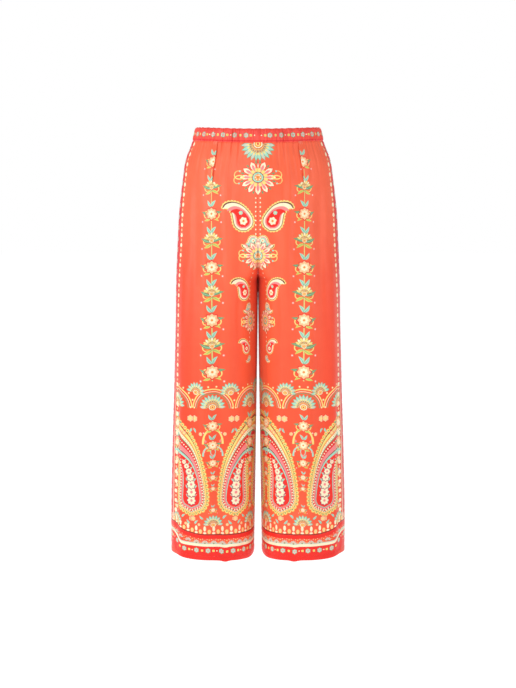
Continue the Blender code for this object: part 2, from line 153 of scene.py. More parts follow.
# long folds: place from the crease line, lean (how far it moves sideways downwards), top, foot, width,
# depth on the left leg and on the right leg; a ridge has a positive depth
FOLDS = {
    "front": (
        (-62, 4, 50, 330, 16, -2.8, -3.2),
        (-38, 0, 70, 620, 15, 2.8, 2.2),
        (-12, -3, 160, 860, 15, -3.2, -3.8),
        (14, 4, 120, 930, 16, 3.5, 3.2),
        (44, 2, 50, 800, 17, -3.2, -2.8),
        (72, 0, 220, 950, 15, 2.5, 3),
        (-46, -4, 600, 970, 15, 3.5, 3),
        (-46, 6, 24, 210, 6, -1.9, -1.9),
        (-30, 5, 20, 260, 6.5, 1.5, 1.7),
        (-20, -3, 90, 380, 6, -1.3, -1.1),
        (-56, 2, 200, 460, 8, -1.5, -1.9),
        (26, 5, 260, 700, 7, -1.3, -1.5),
        (8, -6, 420, 889, 7, 1.7, 1.3),
        (-28, 8, 560, 920, 8, -1.9, -1.5),
        (58, -5, 90, 420, 8, 1.5, 1.3),
        (88, 4, 480, 930, 9, -1.9, -1.7),
    ),
    "back": (
        (-70, 3, 60, 340, 17, -3, -2.5),
        (-44, 0, 280, 950, 17, 3.8, 4.2),
        (-14, 4, 240, 970, 17, -4.2, -3.8),
        (18, -3, 50, 720, 17, 3.5, 3),
        (20, 0, 740, 990, 16, 3.2, 3.8),
        (48, 3, 100, 950, 18, -3.8, -4.2),
        (78, 0, 260, 900, 16, 2.8, 2.5),
        (-30, 6, 30, 260, 7, -1.9, -1.7),
        (2, 5, 24, 300, 7, 1.7, 1.9),
        (34, -4, 120, 520, 8, -1.5, -1.7),
        (-58, -5, 420, 900, 8, 1.7, 1.5),
        (62, 4, 380, 889, 9, 1.7, 1.7),
        (-26, 4, 640, 930, 9, -1.9, -1.9),
    ),
}
FOLD_STARTS_OVER = 90
FOLD_ENDS_OVER = 110
HEM_WAVES = {   # place, how much lower, width
    "left": ((-16, 2.4, 9), (-84, 5, 30), (-30, 1.6, 30), (98, -4, 30)),
    "right": ((-23, 2.6, 8), (-86, 5.4, 30), (-34, 2, 30), (96, -3.6, 30)),
}
HEM_WAVES_OVER = 120

# ---- how closely the meshes follow the cloth --------------------------------------------------
NORMAL_STEPS = (0.25, 0.6)   # across and down
# from the top of a panel: the distance between points, and the drop down to which it holds, by turns
OUTLINE_DROPS = (2.5, 80, 4, HEM)
GRID_DROPS = (2, 60, 3.5, 120, 5.5, HEM - 14, 1.6, HEM)
PLEAT_DROPS = (2, 70, 1.5, PLEAT_FOOT / MM - 0.3)
PLEAT_SHARES = (0, 0.25, 0.5, 0.75, 1)   # of the cloth in a fold, where a line runs down it
BAND_STEPS = (0.9, 1.6)   # round the waist, and down the waistband
BAND_END_GAP = 0.01
GRID_STEPS = ((40, 1.2), (80, 2.2), (140, 3.5), (HEM, 5))   # down to each drop, the points' distance
GRID_NEAR_SEAMS = (0.6, 1.4, 2.6)
CDT_INSIDE, CDT_MERGE = 1, 1e-4   # triangles only inside the faces, and points this close are joined
BAKE_SIZE, BAKE_START = (0.48, -0.98), (0.01, 0.99)   # one side of the cloth on its half of the map

# ---- the print's layout, in millimetres -------------------------------------------------------
PRINT_PAST_PLEAT = -30   # motifs further in than this move over by the cloth that the pleat hides
GUARD_PLACES = ((0, 28), (250, 46), (450, 52), (900, 51))   # drop, distance from the outseam
GUARD_PITCH = 10.4
GUARD_PEARLS = ((11, 9, "cream"), (6, 6, "peach"))   # width, height and ink, by turns
EDGE_INSET = 6.5   # from the guard line to the crimson edge's own edge
EDGE_PITCH = 23
EDGE_FLOWERS_AT = 0.42   # share of the way from the outseam to the guard line
CROSS_TURNS = (-50, 50, 130, 230)
PEG_LINE = 57
PEG_PITCH = 18.6
PEG_CURVE = (16, 118, 70, 1.6)   # rise at the outer corner, where it starts, over what width, and its power
FRAME_LINE = 30
FRAME_CORNER = (44, 72, 19)   # from the outseam: where the chamfer ends and starts, and its rise
FRAME_UPRIGHT = (430, 640, 2.6)   # drops where the upright starts and is full, and its width
LACE_TURNS = (-66, -33, 0, 33, 66)
CHAIN_LINE = 21
CHAIN_REPEAT = 53
HEM_CHAIN = (("flower", 0), ("square", 12.5), ("flower", 25), ("dot", 34.5), ("square", 41.5))
HEM_BANDS = (   # ink, foot and top above the hem, and the line that it follows
    ("red", -5, FRAME_LINE, "frame"),
    ("crimson", FRAME_LINE - 1.8, FRAME_LINE, "frame"),
    ("coral", FRAME_LINE, PEG_LINE, "peg"),
    ("stone", FRAME_LINE + 4, FRAME_LINE + 7.4, "frame"),
    ("cream", FRAME_LINE, FRAME_LINE + 5.4, "frame"),
    ("red", PEG_LINE - 10, PEG_LINE - 1.8, "peg"),
    ("brown", PEG_LINE - 1.8, PEG_LINE, "peg"),
)
CHAIN_DROPS = (130, 440, 9)   # the row of pearls beside the centre seam: from, to and pitch
CENTRE_CHAIN = (("rosette", 86, 74), ("boteh", 186, 82), ("rosette", 246, 60), ("boteh", 330, 64),
                ("rosette", 384, 48), ("boteh", 446, 44))   # motif, drop, size
STRAIGHT_FROM = 200   # below this drop the centre chain hangs straight
STEM_PLACE = 2
STEM_DROPS = (70, 505)
SPRIG_PITCH = 54
GREAT_BOTEHS = ((-134, -1), (-46, -1), (49, 1))   # place, and the side to which the tip bends
GREAT_FOOT, GREAT_LENGTH, GREAT_WIDTH, GREAT_BEND = 757, 252, 66, 118
GREAT_TENDRILS = (   # drop, length, bend, width, ink
    (-118, 84, 215, 4.6, "butter"),
    (-92, 58, 235, 4, "mint"),
)
GREAT_BANDS = (("brown", 1.05), ("butter", 1.03), ("orange", 0.96), ("cream", 0.925), ("green", 0.865),
               ("crimson", 0.845), ("pink", 0.74), ("brown", 0.65), ("mint", 0.635), ("red", 0.59))
GREAT_FLOWERS = ((0.05, 20), (0.17, 22), (0.28, 20), (0.38, 17), (0.47, 14.5), (0.55, 12), (0.62, 9.5))
HALO = (("orange", 9.6, 8), ("butter", 7.4, 8), ("green", 3, 5))   # ink, width and sides of each scallop
SMALL_BANDS = (("brown", 1), ("cream", 0.94), ("pink", 0.76))
SPRIG_LEAVES = (("green", "mint", 0.62, 0.17, 72, 0.08), ("lime", "green", 0.46, 0.15, 118, 0.16),
                ("mint", "green", 0.42, 0.15, 34, -0.34))   # blade, rib, length, width, turn, height
CHANNELS = (-90, 2, 92)   # places between the great botehs
CHANNEL_SPRIGS = ((600, 36), (641, 33), (679, 27), (710, 20), (734, 15), (780, 17))   # drop, size
CHANNEL_FLOWERS = ((40, 586, 15), (26, 618, 9), (47, 800, 12), (30, 812, 7))   # place, drop, size
CHANNEL_LEAVES = ((20, 800, 50), (40, 812, -40), (47, 606, 150))   # place, drop, turn
ARCADE_DROP, ARCADE_PEARLS_AT = 566, 49.5
ARCHES = ((44, 2.6, "butter"), (39, 1.2, "cream"), (35.5, 1.6, "green"))   # radius, width, ink
STRIPE_DROP = -0.6
STRIPE_REPEAT = 49.6
SEAM_SHADE_LINE = (9.4, 11.4)   # drops of the crimson line over the waistband's seam: painted shade of its stitched casing
BAND_CHAIN = (("dot", 7), ("square", 14.6), ("flower", 24.6), ("square", 36.6), ("flower", 48.6), ("dot", 57))
ROSETTE_TIERS = (   # ink, length, width, root, turn
    ("crimson", 0.36, 0.17, 0.16, 0),
    ("cream", 0.34, 0.135, 0.16, 0),
    ("pink", 0.24, 0.07, 0.17, 0),
    ("green", 0.12, 0.05, 0.38, 0.5),
    ("butter", 0.15, 0.1, 0.13, 0.5),
)
ROSETTE_HEART = (("brown", 0.32, 18), ("mint", 0.29, 18), ("orange", 0.2, 14))   # ink, width, sides
FAN_SHELL = (("brown", 0.6), ("cream", 0.56), ("orange", 0.42), ("butter", 0.28), ("crimson", 0.14))

# ---- inks of the print ------------------------------------------------------------------------
INKS = {
    "coral": (254, 110, 75),
    "crimson": (232, 44, 48),
    "cream": (255, 242, 204),
    "butter": (252, 226, 132),
    "peach": (255, 204, 150),
    "orange": (250, 150, 62),
    "mint": (160, 224, 200),
    "green": (112, 158, 108),
    "pink": (248, 140, 140),
    "plum": (158, 44, 86),
    "brown": (104, 46, 36),
    "stone": (202, 214, 196),
    "lime": (214, 214, 104),
    "red": (246, 42, 32),
}
INK_NUMBER = {name: i for i, name in enumerate(INKS)}


def linear(colour):
    """An sRGB colour of 0 to 255 as the linear colour that shaders use."""
    parts = [c / 255 for c in colour]
    return tuple(c / 12.92 if c <= 0.04045 else ((c + 0.055) / 1.055) ** 2.4 for c in parts) + (1,)


# ---- curves that the forms share --------------------------------------------------------------
TINY = 1e-12


def soft_step(value, start, end):
    """0 before start, 1 after end, and smooth between them."""
    part = np.clip((value - start) / (end - start), 0, 1)
    return part * part * (3 - 2 * part)


def bell(distance, width):
    """1 at no distance, and falling off smoothly over the width."""
    return np.exp(-(distance / width) ** 2)


def ripple(run, turn, drift, swing=1):
    """A wave along the cloth that turns so much for each millimetre, with a pitch that drifts."""
    return np.sin(run * turn + swing * np.sin(run * drift))


def front_dip(y, kind):
    """How much lower the waist lies towards the front, in millimetres."""
    return FRONT_DIP / MM * np.clip(-y / DIP_FORWARD[kind], 0, 1) ** 2


def pairs(x, y):
    """Points from their two coordinates, each of which may be one number for all."""
    return np.stack(np.broadcast_arrays(x, y), axis=1)


# ---- the sections of the body -----------------------------------------------------------------
def at_drop(column, drop):
    """A column of the sections' table at any drop, on a smooth curve through its rows."""
    drops = np.array([row[0] for row in SECTIONS])
    values = np.array([row[SECTION_COLUMNS.index(column)] for row in SECTIONS])
    slopes = np.gradient(values, drops)
    i = int(np.clip(np.searchsorted(drops, drop) - 1, 0, len(drops) - 2))
    step = drops[i + 1] - drops[i]
    u = (drop - drops[i]) / step
    low = (1 + 2 * u) * (1 - u) ** 2 * values[i] + u * (1 - u) ** 2 * step * slopes[i]
    high = u * u * (3 - 2 * u) * values[i + 1] + u * u * (u - 1) * step * slopes[i + 1]
    return low + high


def crease_x(drop):
    """Distance of the pleat's edge, and of the crease line below it, from the centre plane."""
    return CREASE_X[0] + (CREASE_X[1] - CREASE_X[0]) * soft_step(drop, 0.0, PLEAT_FOOT)


def inner_edge(face, drop):
    """(x, y) of the seam between the legs: the rise above the crotch point, the inseam below it."""
    depth = at_drop(face + "_depth", drop)
    way = -1.0 if face == "front" else 1.0
    if drop >= CROTCH_DROP:
        down = (drop - CROTCH_DROP) / (OUTSEAM_DROP - CROTCH_DROP)
        x = SEAM_GAP / 2 + (LEG_GAP_AT_HEM - SEAM_GAP) / 2 * down ** LEG_GAP_CURVE
        return x, CROTCH_SETBACK * (1.0 - down) + way * SEAM_GAP / 2
    turn = FRONT_RISE_TURN if face == "front" else BACK_RISE_TURN
    along = np.clip((drop - turn) / (CROTCH_DROP - turn), 0.0, 1.0)
    reach = depth - way * CROTCH_SETBACK
    return SEAM_GAP / 2, way * (depth - (reach - SEAM_GAP / 2) * (1.0 - np.sqrt(1.0 - along ** 2)))


def half_section(face, drop):
    """The outer face of one panel at one level, from the inner seam round to the outseam."""
    way = -1.0 if face == "front" else 1.0
    half_width = at_drop("half_width", drop)
    depth = at_drop(face + "_depth", drop)
    inner_x, inner_y = inner_edge(face, drop)
    parting = soft_step(drop, *PARTING)
    crown = inner_x + (half_width - inner_edge("front", drop)[0]) / 2 * parting
    cusp = soft_step(drop, CUSP_TOP, CROTCH_DROP)
    power = ROUNDNESS[0] + (ROUNDNESS[1] - ROUNDNESS[0]) * parting
    turn = np.linspace(0.0, np.pi / 2, SAMPLES)
    across = 1.0 - np.cos(turn) ** (2.0 / power)
    rounded = np.sin(turn) ** (2.0 / power)
    draped = (1.0 - np.cos(np.pi * across)) / 2
    rise = (1.0 - cusp) * draped + cusp * rounded
    inner = np.stack([inner_x + (crown - inner_x) * across,
                      inner_y + (way * depth - inner_y) * rise], axis=1)
    side_y = way * SEAM_GAP / 2
    outer = np.stack([crown + (half_width - crown) * np.sin(turn) ** (2.0 / power),
                      side_y + (way * depth - side_y) * np.cos(turn) ** (2.0 / power)], axis=1)
    points = np.concatenate([inner, outer[1:]])
    moved = np.linalg.norm(np.diff(points, axis=0), axis=1) > SHORTEST_STEP
    return points[np.concatenate([[True], moved])]


class Levels:
    """The sections of one face, tabled level by level so that any place on them is read quickly."""

    TOP, FOOT, STEP = -24.0, 912.0, 3.0   # drops of the first level and past the last, and their distance
    HALF = 120   # columns on each side of the crease line
    INSIDE = 0.001   # keeps a place inside the last row and column

    def __init__(self, face):
        self.drops = np.arange(self.TOP, self.FOOT, self.STEP)
        shares = np.linspace(-1.0, 1.0, 2 * self.HALF + 1)
        ends, xs, ys = [], [], []
        for drop in self.drops:
            points = half_section(face, drop * MM) / MM
            steps = np.hypot(*np.diff(points, axis=0).T)
            arc = np.concatenate([[0.0], np.cumsum(steps)])
            arc -= np.interp(crease_x(drop * MM) / MM, points[:, 0], arc)
            along = np.where(shares < 0.0, -shares * arc[0], shares * arc[-1])
            ends.append((arc[0], arc[-1]))
            xs.append(np.interp(along, arc, points[:, 0]))
            ys.append(np.interp(along, arc, points[:, 1]))
        self.inner, self.outer = np.array(ends).T
        x, y = np.array(xs), np.array(ys)
        across_x, across_y = np.gradient(x, axis=1), np.gradient(y, axis=1)
        length = np.hypot(across_x, across_y) * (1.0 if face == "front" else -1.0)
        self.tables = np.stack([x, y, across_y / length, -across_x / length])

    def ends(self, drop):
        """Distances from the crease line to the inner seam (negative) and to the outseam."""
        return np.interp(drop, self.drops, self.inner), np.interp(drop, self.drops, self.outer)

    def read(self, along, drop):
        """x, y and the outward direction's x and y."""
        inner, outer = self.ends(drop)
        along = np.clip(along, inner, outer)
        share = np.where(along < 0.0, -along / inner, along / outer)
        row = np.clip((drop - self.TOP) / self.STEP, 0.0, len(self.drops) - 1 - self.INSIDE)
        column = np.clip((share + 1.0) * self.HALF, 0.0, 2 * self.HALF - self.INSIDE)
        i, j = row.astype(int), column.astype(int)
        f, g = row - i, column - j
        t = self.tables
        return ((1 - f) * (1 - g) * t[:, i, j] + (1 - f) * g * t[:, i, j + 1]
                + f * (1 - g) * t[:, i + 1, j] + f * g * t[:, i + 1, j + 1])


LEVELS = {face: Levels(face) for face in ("front", "back")}


def waist_lengths(face):
    """Distances round the waist from the centre seam to the crease line, and on to the outseam."""
    inner, outer = LEVELS[face].ends(BAND_FOOT)
    return -float(inner), float(outer)


# ---- the pleat of each front ------------------------------------------------------------------
def pleat_lap(drop):
    """How far the pleat laps over: most at the waist, none at its foot."""
    along = np.clip((drop - BAND_FOOT) / (PLEAT_FOOT / MM - BAND_FOOT), 0, 1)
    return PLEAT_LAP * (1 - along) ** PLEAT_CLOSING


def pleat_pitch(drop):
    """From one layer of the pleat to the next, pressed together where the waistband holds them."""
    least, over = LAYERS_PRESSED
    pressed = least + (1 - least) * soft_step(drop, PANEL_TOP, PANEL_TOP + over)
    return LAYER_PITCH * pressed * np.clip(pleat_lap(drop) / LAYERS_CLOSE_AT, 0, 1)


def pleat_turn(drop):
    """Cloth that each of its two folds takes."""
    return np.pi * pleat_pitch(drop) / 2


def pleat_intake(drop):
    """Cloth that lies hidden in the pleat."""
    return 2 * (pleat_lap(drop) + pleat_turn(drop))


def folded(across, drop):
    """(along, lift) of cloth: where it lies once the pleat is folded, and how high its layer is."""
    lap, pitch, turn = pleat_lap(drop), pleat_pitch(drop), np.maximum(pleat_turn(drop), TINY)
    back = -across
    first = np.clip(back / turn, 0, 1) * np.pi
    second = np.clip((back - turn - lap) / turn, 0, 1) * np.pi
    under = np.clip(back - turn, 0, lap) - np.maximum(back - 2 * turn - lap, 0)
    along = np.maximum(across, 0) + under + pitch / 2 * (np.sin(second) - np.sin(first))
    lift = pitch * (1 + (np.cos(first) + np.cos(second)) / 2)
    level_to = lap + LAP_EASE
    over = 1 - soft_step(across, level_to, level_to + LAP_SLOPE)
    return along, lift * np.where(across > 0, over, 1)


# ---- surfaces ---------------------------------------------------------------------------------
class Surface:
    """A sheet of cloth in space. Each kind has at(), which gives the points of its outer face."""

    def facing(self, across, drop):
        """Outward normals, from small steps across and down the cloth."""
        step, down = NORMAL_STEPS
        wide = self.at(across + step, drop) - self.at(across - step, drop)
        tall = self.at(across, drop + down) - self.at(across, drop - down)
        normal = np.cross(wide, tall) * self.turned
        return normal / np.maximum(np.linalg.norm(normal, axis=-1, keepdims=True), TINY)


class Panel(Surface):
    """The outer face of a front or back panel, with its pleat, tucks, folds, seams and hem."""

    def __init__(self, face, side):
        self.face, self.side = face, side
        self.way = 1 if side == "left" else -1
        self.levels = LEVELS[face]
        self.turned = -self.way if face == "front" else self.way

    def intake(self, drop):
        """Cloth that its pleat hides."""
        return pleat_intake(drop) if self.face == "front" else 0 * drop

    def seams(self, drop):
        """Places of the inner seam and of the outseam, in cloth."""
        inner, outer = self.levels.ends(drop)
        return inner - self.intake(drop), outer

    def seam_places(self, drop):
        """The same at one level, as plain numbers."""
        return tuple(float(place) for place in self.seams(np.array(drop)))

    def relief(self, along, drop):
        """How far the cloth stands out of its smooth section."""
        inner, outer = self.levels.ends(drop)
        to_seam = np.minimum(along - inner, outer - along)
        out = self.gathers(along, drop, inner, outer)
        out += self.folds(along, drop) * soft_step(to_seam, 0, SEAM_CALM)
        out += self.seam_form(to_seam, drop) + self.hem_form(along, drop)
        pressed, over = TOP_PRESSED
        out -= pressed * (1 - soft_step(drop, PANEL_TOP, PANEL_TOP + over))
        if self.face == "front":
            height, place, width = CREASE_RIDGE
            rises, fades = (PLEAT_FOOT / MM + over for over in CREASE_RIDGE_DROPS)
            ridge = soft_step(drop, PLEAT_FOOT / MM - CREASE_RIDGE_DROPS[0], rises)
            out += height * ridge * (1 - soft_step(drop, rises, fades)) * bell(along - place, width)
        return out

    def gathers(self, along, drop, inner, outer):
        """Tucks and small gathers that fade downwards. They keep their places round the waist."""
        to_centre, to_side = waist_lengths(self.face)
        share = np.where(along < 0, -along / inner * to_centre, along / outer * to_side)
        from_centre, below = to_centre + share, drop - BAND_FOOT
        height, fade = GATHERS
        small = sum(np.sin(from_centre * turn + start) for turn, start in GATHER_WAVES)
        out = height * small * np.exp(-below / fade)
        for place, depth, fade, width in TUCKS[self.face]:
            out -= depth * bell(from_centre - place, width) * np.exp(-below / fade)
        return out

    def folds(self, along, drop):
        """The long soft folds."""
        out = 0 * along
        for place, lean, top, foot, width, left, right in FOLDS[self.face]:
            depth = left if self.side == "left" else right
            length = soft_step(drop, top, top + FOLD_STARTS_OVER)
            length *= 1 - soft_step(drop, foot - FOLD_ENDS_OVER, foot)
            middle = place + lean * (drop - top) / (foot - top)
            out += depth * length * bell(along - middle, width)
        return out

    def seam_form(self, to_seam, drop):
        """Cloth rolls in at a seam, stands a little proud beside it, and puckers."""
        roll, over = SEAM_ROLL
        proud, place, width = SEAM_PROUD
        pucker, reach = SEAM_PUCKER
        small = pucker * ripple(drop, *SEAM_RIPPLE) * np.exp(-to_seam / reach) * soft_step(to_seam, 0, 2)
        return proud * bell(to_seam - place, width) - roll * (1 - soft_step(to_seam, 0, over)) + small

    def hem_form(self, along, drop):
        """The hem's two layers stand out a little above its row of stitches, with a faint pucker."""
        above = HEM - drop - HEM_FOLD
        proud, edge = HEM_PROUD
        dent, width = HEM_DENT
        pucker, reach = HEM_PUCKER
        small = pucker * ripple(along, *HEM_RIPPLE) * bell(above, reach)
        return proud * (1 - soft_step(above, -edge, edge)) - dent * bell(above, width) + small

    def hang(self, y, along, drop):
        """How much lower the cloth hangs than its drop says: the dip in front and the hem's flicks."""
        if self.face == "back":
            height, turn, start = HEM_SWAY
            return height * np.sin(along * turn) * soft_step(drop, start, HEM)
        dips = 1 - soft_step(drop, DIP_FADES[0] / MM, DIP_FADES[1] / MM)
        waves = sum(deep * bell(along - place, width) for place, deep, width in HEM_WAVES[self.side])
        return front_dip(y, "panel") * dips + waves * soft_step(drop, HEM - HEM_WAVES_OVER, HEM)

    def at(self, across, drop):
        """Points in space, in millimetres, of places on the cloth."""
        along, lift = folded(across, drop) if self.face == "front" else (across, 0)
        x, y, out_x, out_y = self.levels.read(along, drop)
        out = lift + self.relief(along, drop)
        z = -drop - self.hang(y, along, drop)
        return np.stack([(x + out_x * out) * self.way, y + out_y * out, z], axis=-1)


class Band(Surface):
    """The outer face of one half of the waistband. across runs round from the centre front."""

    def __init__(self, side):
        self.way = 1 if side == "left" else -1
        self.turned = -self.way
        self.lengths = {face: sum(waist_lengths(face)) for face in ("front", "back")}
        self.whole = sum(self.lengths.values())

    def from_centres(self, across):
        """Distances from the centre front and from the centre back."""
        return ("front", across), ("back", self.whole - across)

    def relief(self, across, drop):
        """The elastic's tucks and small gathers, and the rounded edges of the casing."""
        edge = np.abs(drop) / BAND_FOOT
        deeper, slimmer, at_top = BAND_TUCKS
        fuller = at_top + (1 - at_top) * soft_step(drop, -BAND_FOOT, BAND_FOOT)
        small = np.sin(across * 0.71 + 0.5 * np.sin(drop * 0.2)) + np.sin(across * 1.17 + 1)
        out = BAND_GATHERS * small
        for face, from_centre in self.from_centres(across):
            for place, depth, _, width in TUCKS[face]:
                out -= deeper * depth * np.exp(-np.abs(from_centre - place) / (width * slimmer)) * fuller
        dent, width = BAND_STITCH_DENT
        sewn = dent * bell(drop - (BAND_FOOT - BAND_STITCH_UP), width)
        plump = BAND_PLUMP * (1 - edge ** 2) - BAND_EDGE_ROLL * edge ** 8
        return BAND_OUT + out * (1 - BAND_CALM * edge) + plump - sewn

    def at(self, across, drop):
        """Points in space, in millimetres."""
        read = {}
        for face, from_centre in self.from_centres(across):
            inner, outer = LEVELS[face].ends(drop)
            share = np.clip(from_centre / self.lengths[face], 0, 1)
            read[face] = LEVELS[face].read(inner + share * (outer - inner), drop)
        x, y, out_x, out_y = np.where(across <= self.lengths["front"], read["front"], read["back"])
        out = self.relief(across, drop)
        height, start = BAND_RUFFLE
        ruffle = height * ripple(across, *BAND_RIPPLE) * soft_step(-drop, start, BAND_FOOT)
        z = -drop - front_dip(y, "band") + ruffle
        return np.stack([(x + out_x * out) * self.way, y + out_y * out, z], axis=-1)


# ---- shells of cloth --------------------------------------------------------------------------
def turning(shape):
    """Twice the signed area of an outline: positive where it runs anticlockwise."""
    x, y = np.asarray(shape, float).T
    return float(np.sum(x * np.roll(y, -1) - y * np.roll(x, -1)))


def triangulate(points, edges, faces):
    """The cut sheet inside the first face: its points, its triangles, the faces that each lies in, and
    the given points that each point stands for. It keeps the edges and the faces' outlines."""
    faces = [f if turning([points[i] for i in f]) > 0 else f[::-1] for f in faces]
    found = delaunay_2d_cdt([Vector(p) for p in points], edges, faces, CDT_INSIDE, CDT_MERGE, True)
    flat = np.array([(v.x, v.y) for v in found[0]])
    kept = [(t, ids) for t, ids in zip(found[2], found[5]) if 0 in ids]
    triangles = np.array([t for t, _ in kept])
    a, b, c = (flat[triangles[:, i]] for i in range(3))
    turn = (b[:, 0] - a[:, 0]) * (c[:, 1] - a[:, 1]) - (b[:, 1] - a[:, 1]) * (c[:, 0] - a[:, 0])
    triangles[turn < 0] = triangles[turn < 0][:, ::-1]
    used, number = np.unique(triangles, return_inverse=True)
    return flat[used], number.reshape(-1, 3), [ids for _, ids in kept], [found[3][i] for i in used]


def rim_of(triangles):
    """The edges that only one triangle has, in its direction, as one loop."""
    edges = np.concatenate([triangles[:, [0, 1]], triangles[:, [1, 2]], triangles[:, [2, 0]]])
    known = {tuple(e) for e in edges.tolist()}
    following = {a: b for a, b in known if (b, a) not in known}
    start = next(iter(following))
    loop = [start]
    while following[loop[-1]] != start:
        loop.append(following[loop[-1]])
    return loop


def add_lines(points, lines):
    """Adds lines to a list of points, and gives their edges."""
    edges = []
    for line in lines:
        edges += [(len(points) + i, len(points) + i + 1) for i in range(len(line) - 1)]
        points += line
    return edges


def printed_side(outline, lines, grid, layers):
    """The outer side, cut along its motifs: points, triangles and the number of each one's ink."""
    points, faces, inks = list(outline), [list(range(len(outline)))], [0]
    edges = add_lines(points, lines)
    points += grid
    for ink, shape in layers:
        faces.append(list(range(len(points), len(points) + len(shape))))
        points += list(shape)
        inks.append(INK_NUMBER[ink])
    flat, triangles, inside, _ = triangulate(points, edges, faces)
    return flat, triangles, [inks[max(ids)] for ids in inside]


def plain_side(rim, lines, grid):
    """The inner side within the same edge: points, triangles and the numbers of the points on its edge."""
    points = list(rim)
    edges = add_lines(points, lines)
    flat, triangles, _, sources = triangulate(points + grid, edges, [list(range(len(rim)))])
    place = {s: i for i, ids in enumerate(sources) for s in ids}
    return flat, triangles, np.array([place[i] for i in range(len(rim))])


def new_piece(name, mesh):
    """An object with that mesh, which rides on the garment's one body."""
    mesh.update()
    piece = bpy.data.objects.new(name, mesh)
    bpy.context.scene.collection.objects.link(piece)
    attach(piece, "root")
    return piece


def cloth_shell(name, surface, outline, lines, grid, layers, thickness, materials):
    """A closed shell: the printed outer side, the plain inner side and the edge between them."""
    flat, outer, inks = printed_side(outline, lines, grid, layers)
    rim = np.array(rim_of(outer))
    back_flat, back, back_rim = plain_side([tuple(p) for p in flat[rim]], lines, grid)
    count = len(flat)

    places = np.concatenate([flat, back_flat])
    spots, normals = surface.at(*places.T), surface.facing(*places.T)
    spots[count:] -= thickness * normals[count:]
    normals[count:] *= -1

    edge = np.stack([np.roll(rim, -1), rim, back_rim + count, np.roll(back_rim, -1) + count], axis=1)
    order = surface.turned
    faces = [outer[:, ::order], back[:, ::-order] + count, edge[:, ::order]]
    mesh = bpy.data.meshes.new(name)
    mesh.from_pydata((spots * MM).tolist(), [], [face for side in faces for face in side.tolist()])
    for material in materials:
        mesh.materials.append(material)
    plain = len(mesh.polygons) - len(outer)
    mesh.polygons.foreach_set("material_index", [0] * len(outer) + [1] * plain)
    layer = mesh.attributes.new("ink", "FLOAT", "FACE")
    layer.data.foreach_set("value", (np.array(inks + [0] * plain) + 0.5) / len(INKS))
    add_maps(mesh, places, count)
    mesh.shade_smooth()
    mesh.normals_split_custom_set_from_vertices(normals.tolist())
    return new_piece(name, mesh)


def add_maps(mesh, places, count):
    """The cloth's own places in millimetres, and a map for baking with the two sides side by side."""
    corner = np.zeros(len(mesh.loops), int)
    mesh.loops.foreach_get("vertex_index", corner)
    low, high = places.min(axis=0), places.max(axis=0)
    bake = (places - low) / (high - low) * BAKE_SIZE + BAKE_START
    bake[count:, 0] += 0.5
    for name, values in (("OFBake", bake), ("cloth", places)):
        layer = mesh.uv_layers.new(name=name)
        layer.data.foreach_set("uv", values[corner].astype(np.float32).ravel())


def spaced(start, end, step):
    """Even steps from start to end, no longer than step."""
    return np.linspace(start, end, max(2, math.ceil(abs(end - start) / step) + 1))


def stretches(*ends_and_steps):
    """Even steps through several stretches: a start, then a step and an end for each."""
    start, run = ends_and_steps[0], [ends_and_steps[:1]]
    for step, end in zip(ends_and_steps[1::2], ends_and_steps[2::2]):
        run.append(spaced(start, end, step)[1:])
        start = end
    return np.concatenate(run)


def panel_outline(panel):
    """The cut edge of a panel: along its top, down the inner seam, along the hem and up the outseam."""
    inner, outer = panel.seam_places(PANEL_TOP)
    under = -1 - float(panel.intake(np.array(PANEL_TOP)))
    top = stretches(outer, 2, 1, 0.5, under, 2, inner)
    downs = stretches(PANEL_TOP, *OUTLINE_DROPS)
    edge = [(across, PANEL_TOP) for across in top[:-1]]
    edge += [(panel.seam_places(drop)[0], drop) for drop in downs[:-1]]
    edge += [(across, HEM) for across in spaced(*panel.seam_places(HEM), 3)[:-1]]
    return edge + [(panel.seam_places(drop)[1], drop) for drop in downs[:0:-1]]


def panel_grid(panel):
    """Points spread over a panel, closer together where it is gathered, near its seams and at the hem."""
    spots = []
    for drop in stretches(PANEL_TOP, *GRID_DROPS)[1:-1]:
        inner, outer = (float(place) for place in panel.levels.ends(drop))
        fold = float(panel.intake(np.array(drop)))
        step = next(step for foot, step in GRID_STEPS if drop < foot)
        row = [along for along in spaced(inner, outer, step)[1:-1] if inner + 4 < along < outer - 4]
        row += [inner + near for near in GRID_NEAR_SEAMS] + [outer - near for near in GRID_NEAR_SEAMS]
        shown = [along for along in row if abs(along) > 0.4 or fold == 0]
        spots += [(along if along > 0 else along - fold, drop) for along in shown]
    return spots


def pleat_lines():
    """Lines down the pleat's folds, which keep its layers apart in the mesh."""
    drops = stretches(PANEL_TOP, *PLEAT_DROPS)
    turns, laps = pleat_turn(drops), pleat_lap(drops)
    places = [share * turns + fold * (turns + laps) for fold in (0, 1) for share in PLEAT_SHARES]
    return [list(zip(-place, drops)) for place in places + [turns + laps / 2]]


# ---- materials --------------------------------------------------------------------------------
class Value:
    """One value in a finish's nodes. Sums on it are written as Python and add Math nodes."""

    def __init__(self, finish, socket):
        self.finish, self.socket = finish, socket

    def math(self, operation, other, swapped=False):
        pair = (other, self) if swapped else (self, other)
        return self.finish.node("Math", {"operation": operation}, {0: pair[0], 1: pair[1]})

    def __add__(self, other):
        return self.math("ADD", other)

    def __radd__(self, other):
        return self.math("ADD", other, True)

    def __sub__(self, other):
        return self.math("SUBTRACT", other)

    def __rsub__(self, other):
        return self.math("SUBTRACT", other, True)

    def __mul__(self, other):
        return self.math("MULTIPLY", other)

    def __rmul__(self, other):
        return self.math("MULTIPLY", other, True)

    def __lt__(self, other):
        return self.math("LESS_THAN", other)

    def sine(self):
        return self.math("SINE", 0)


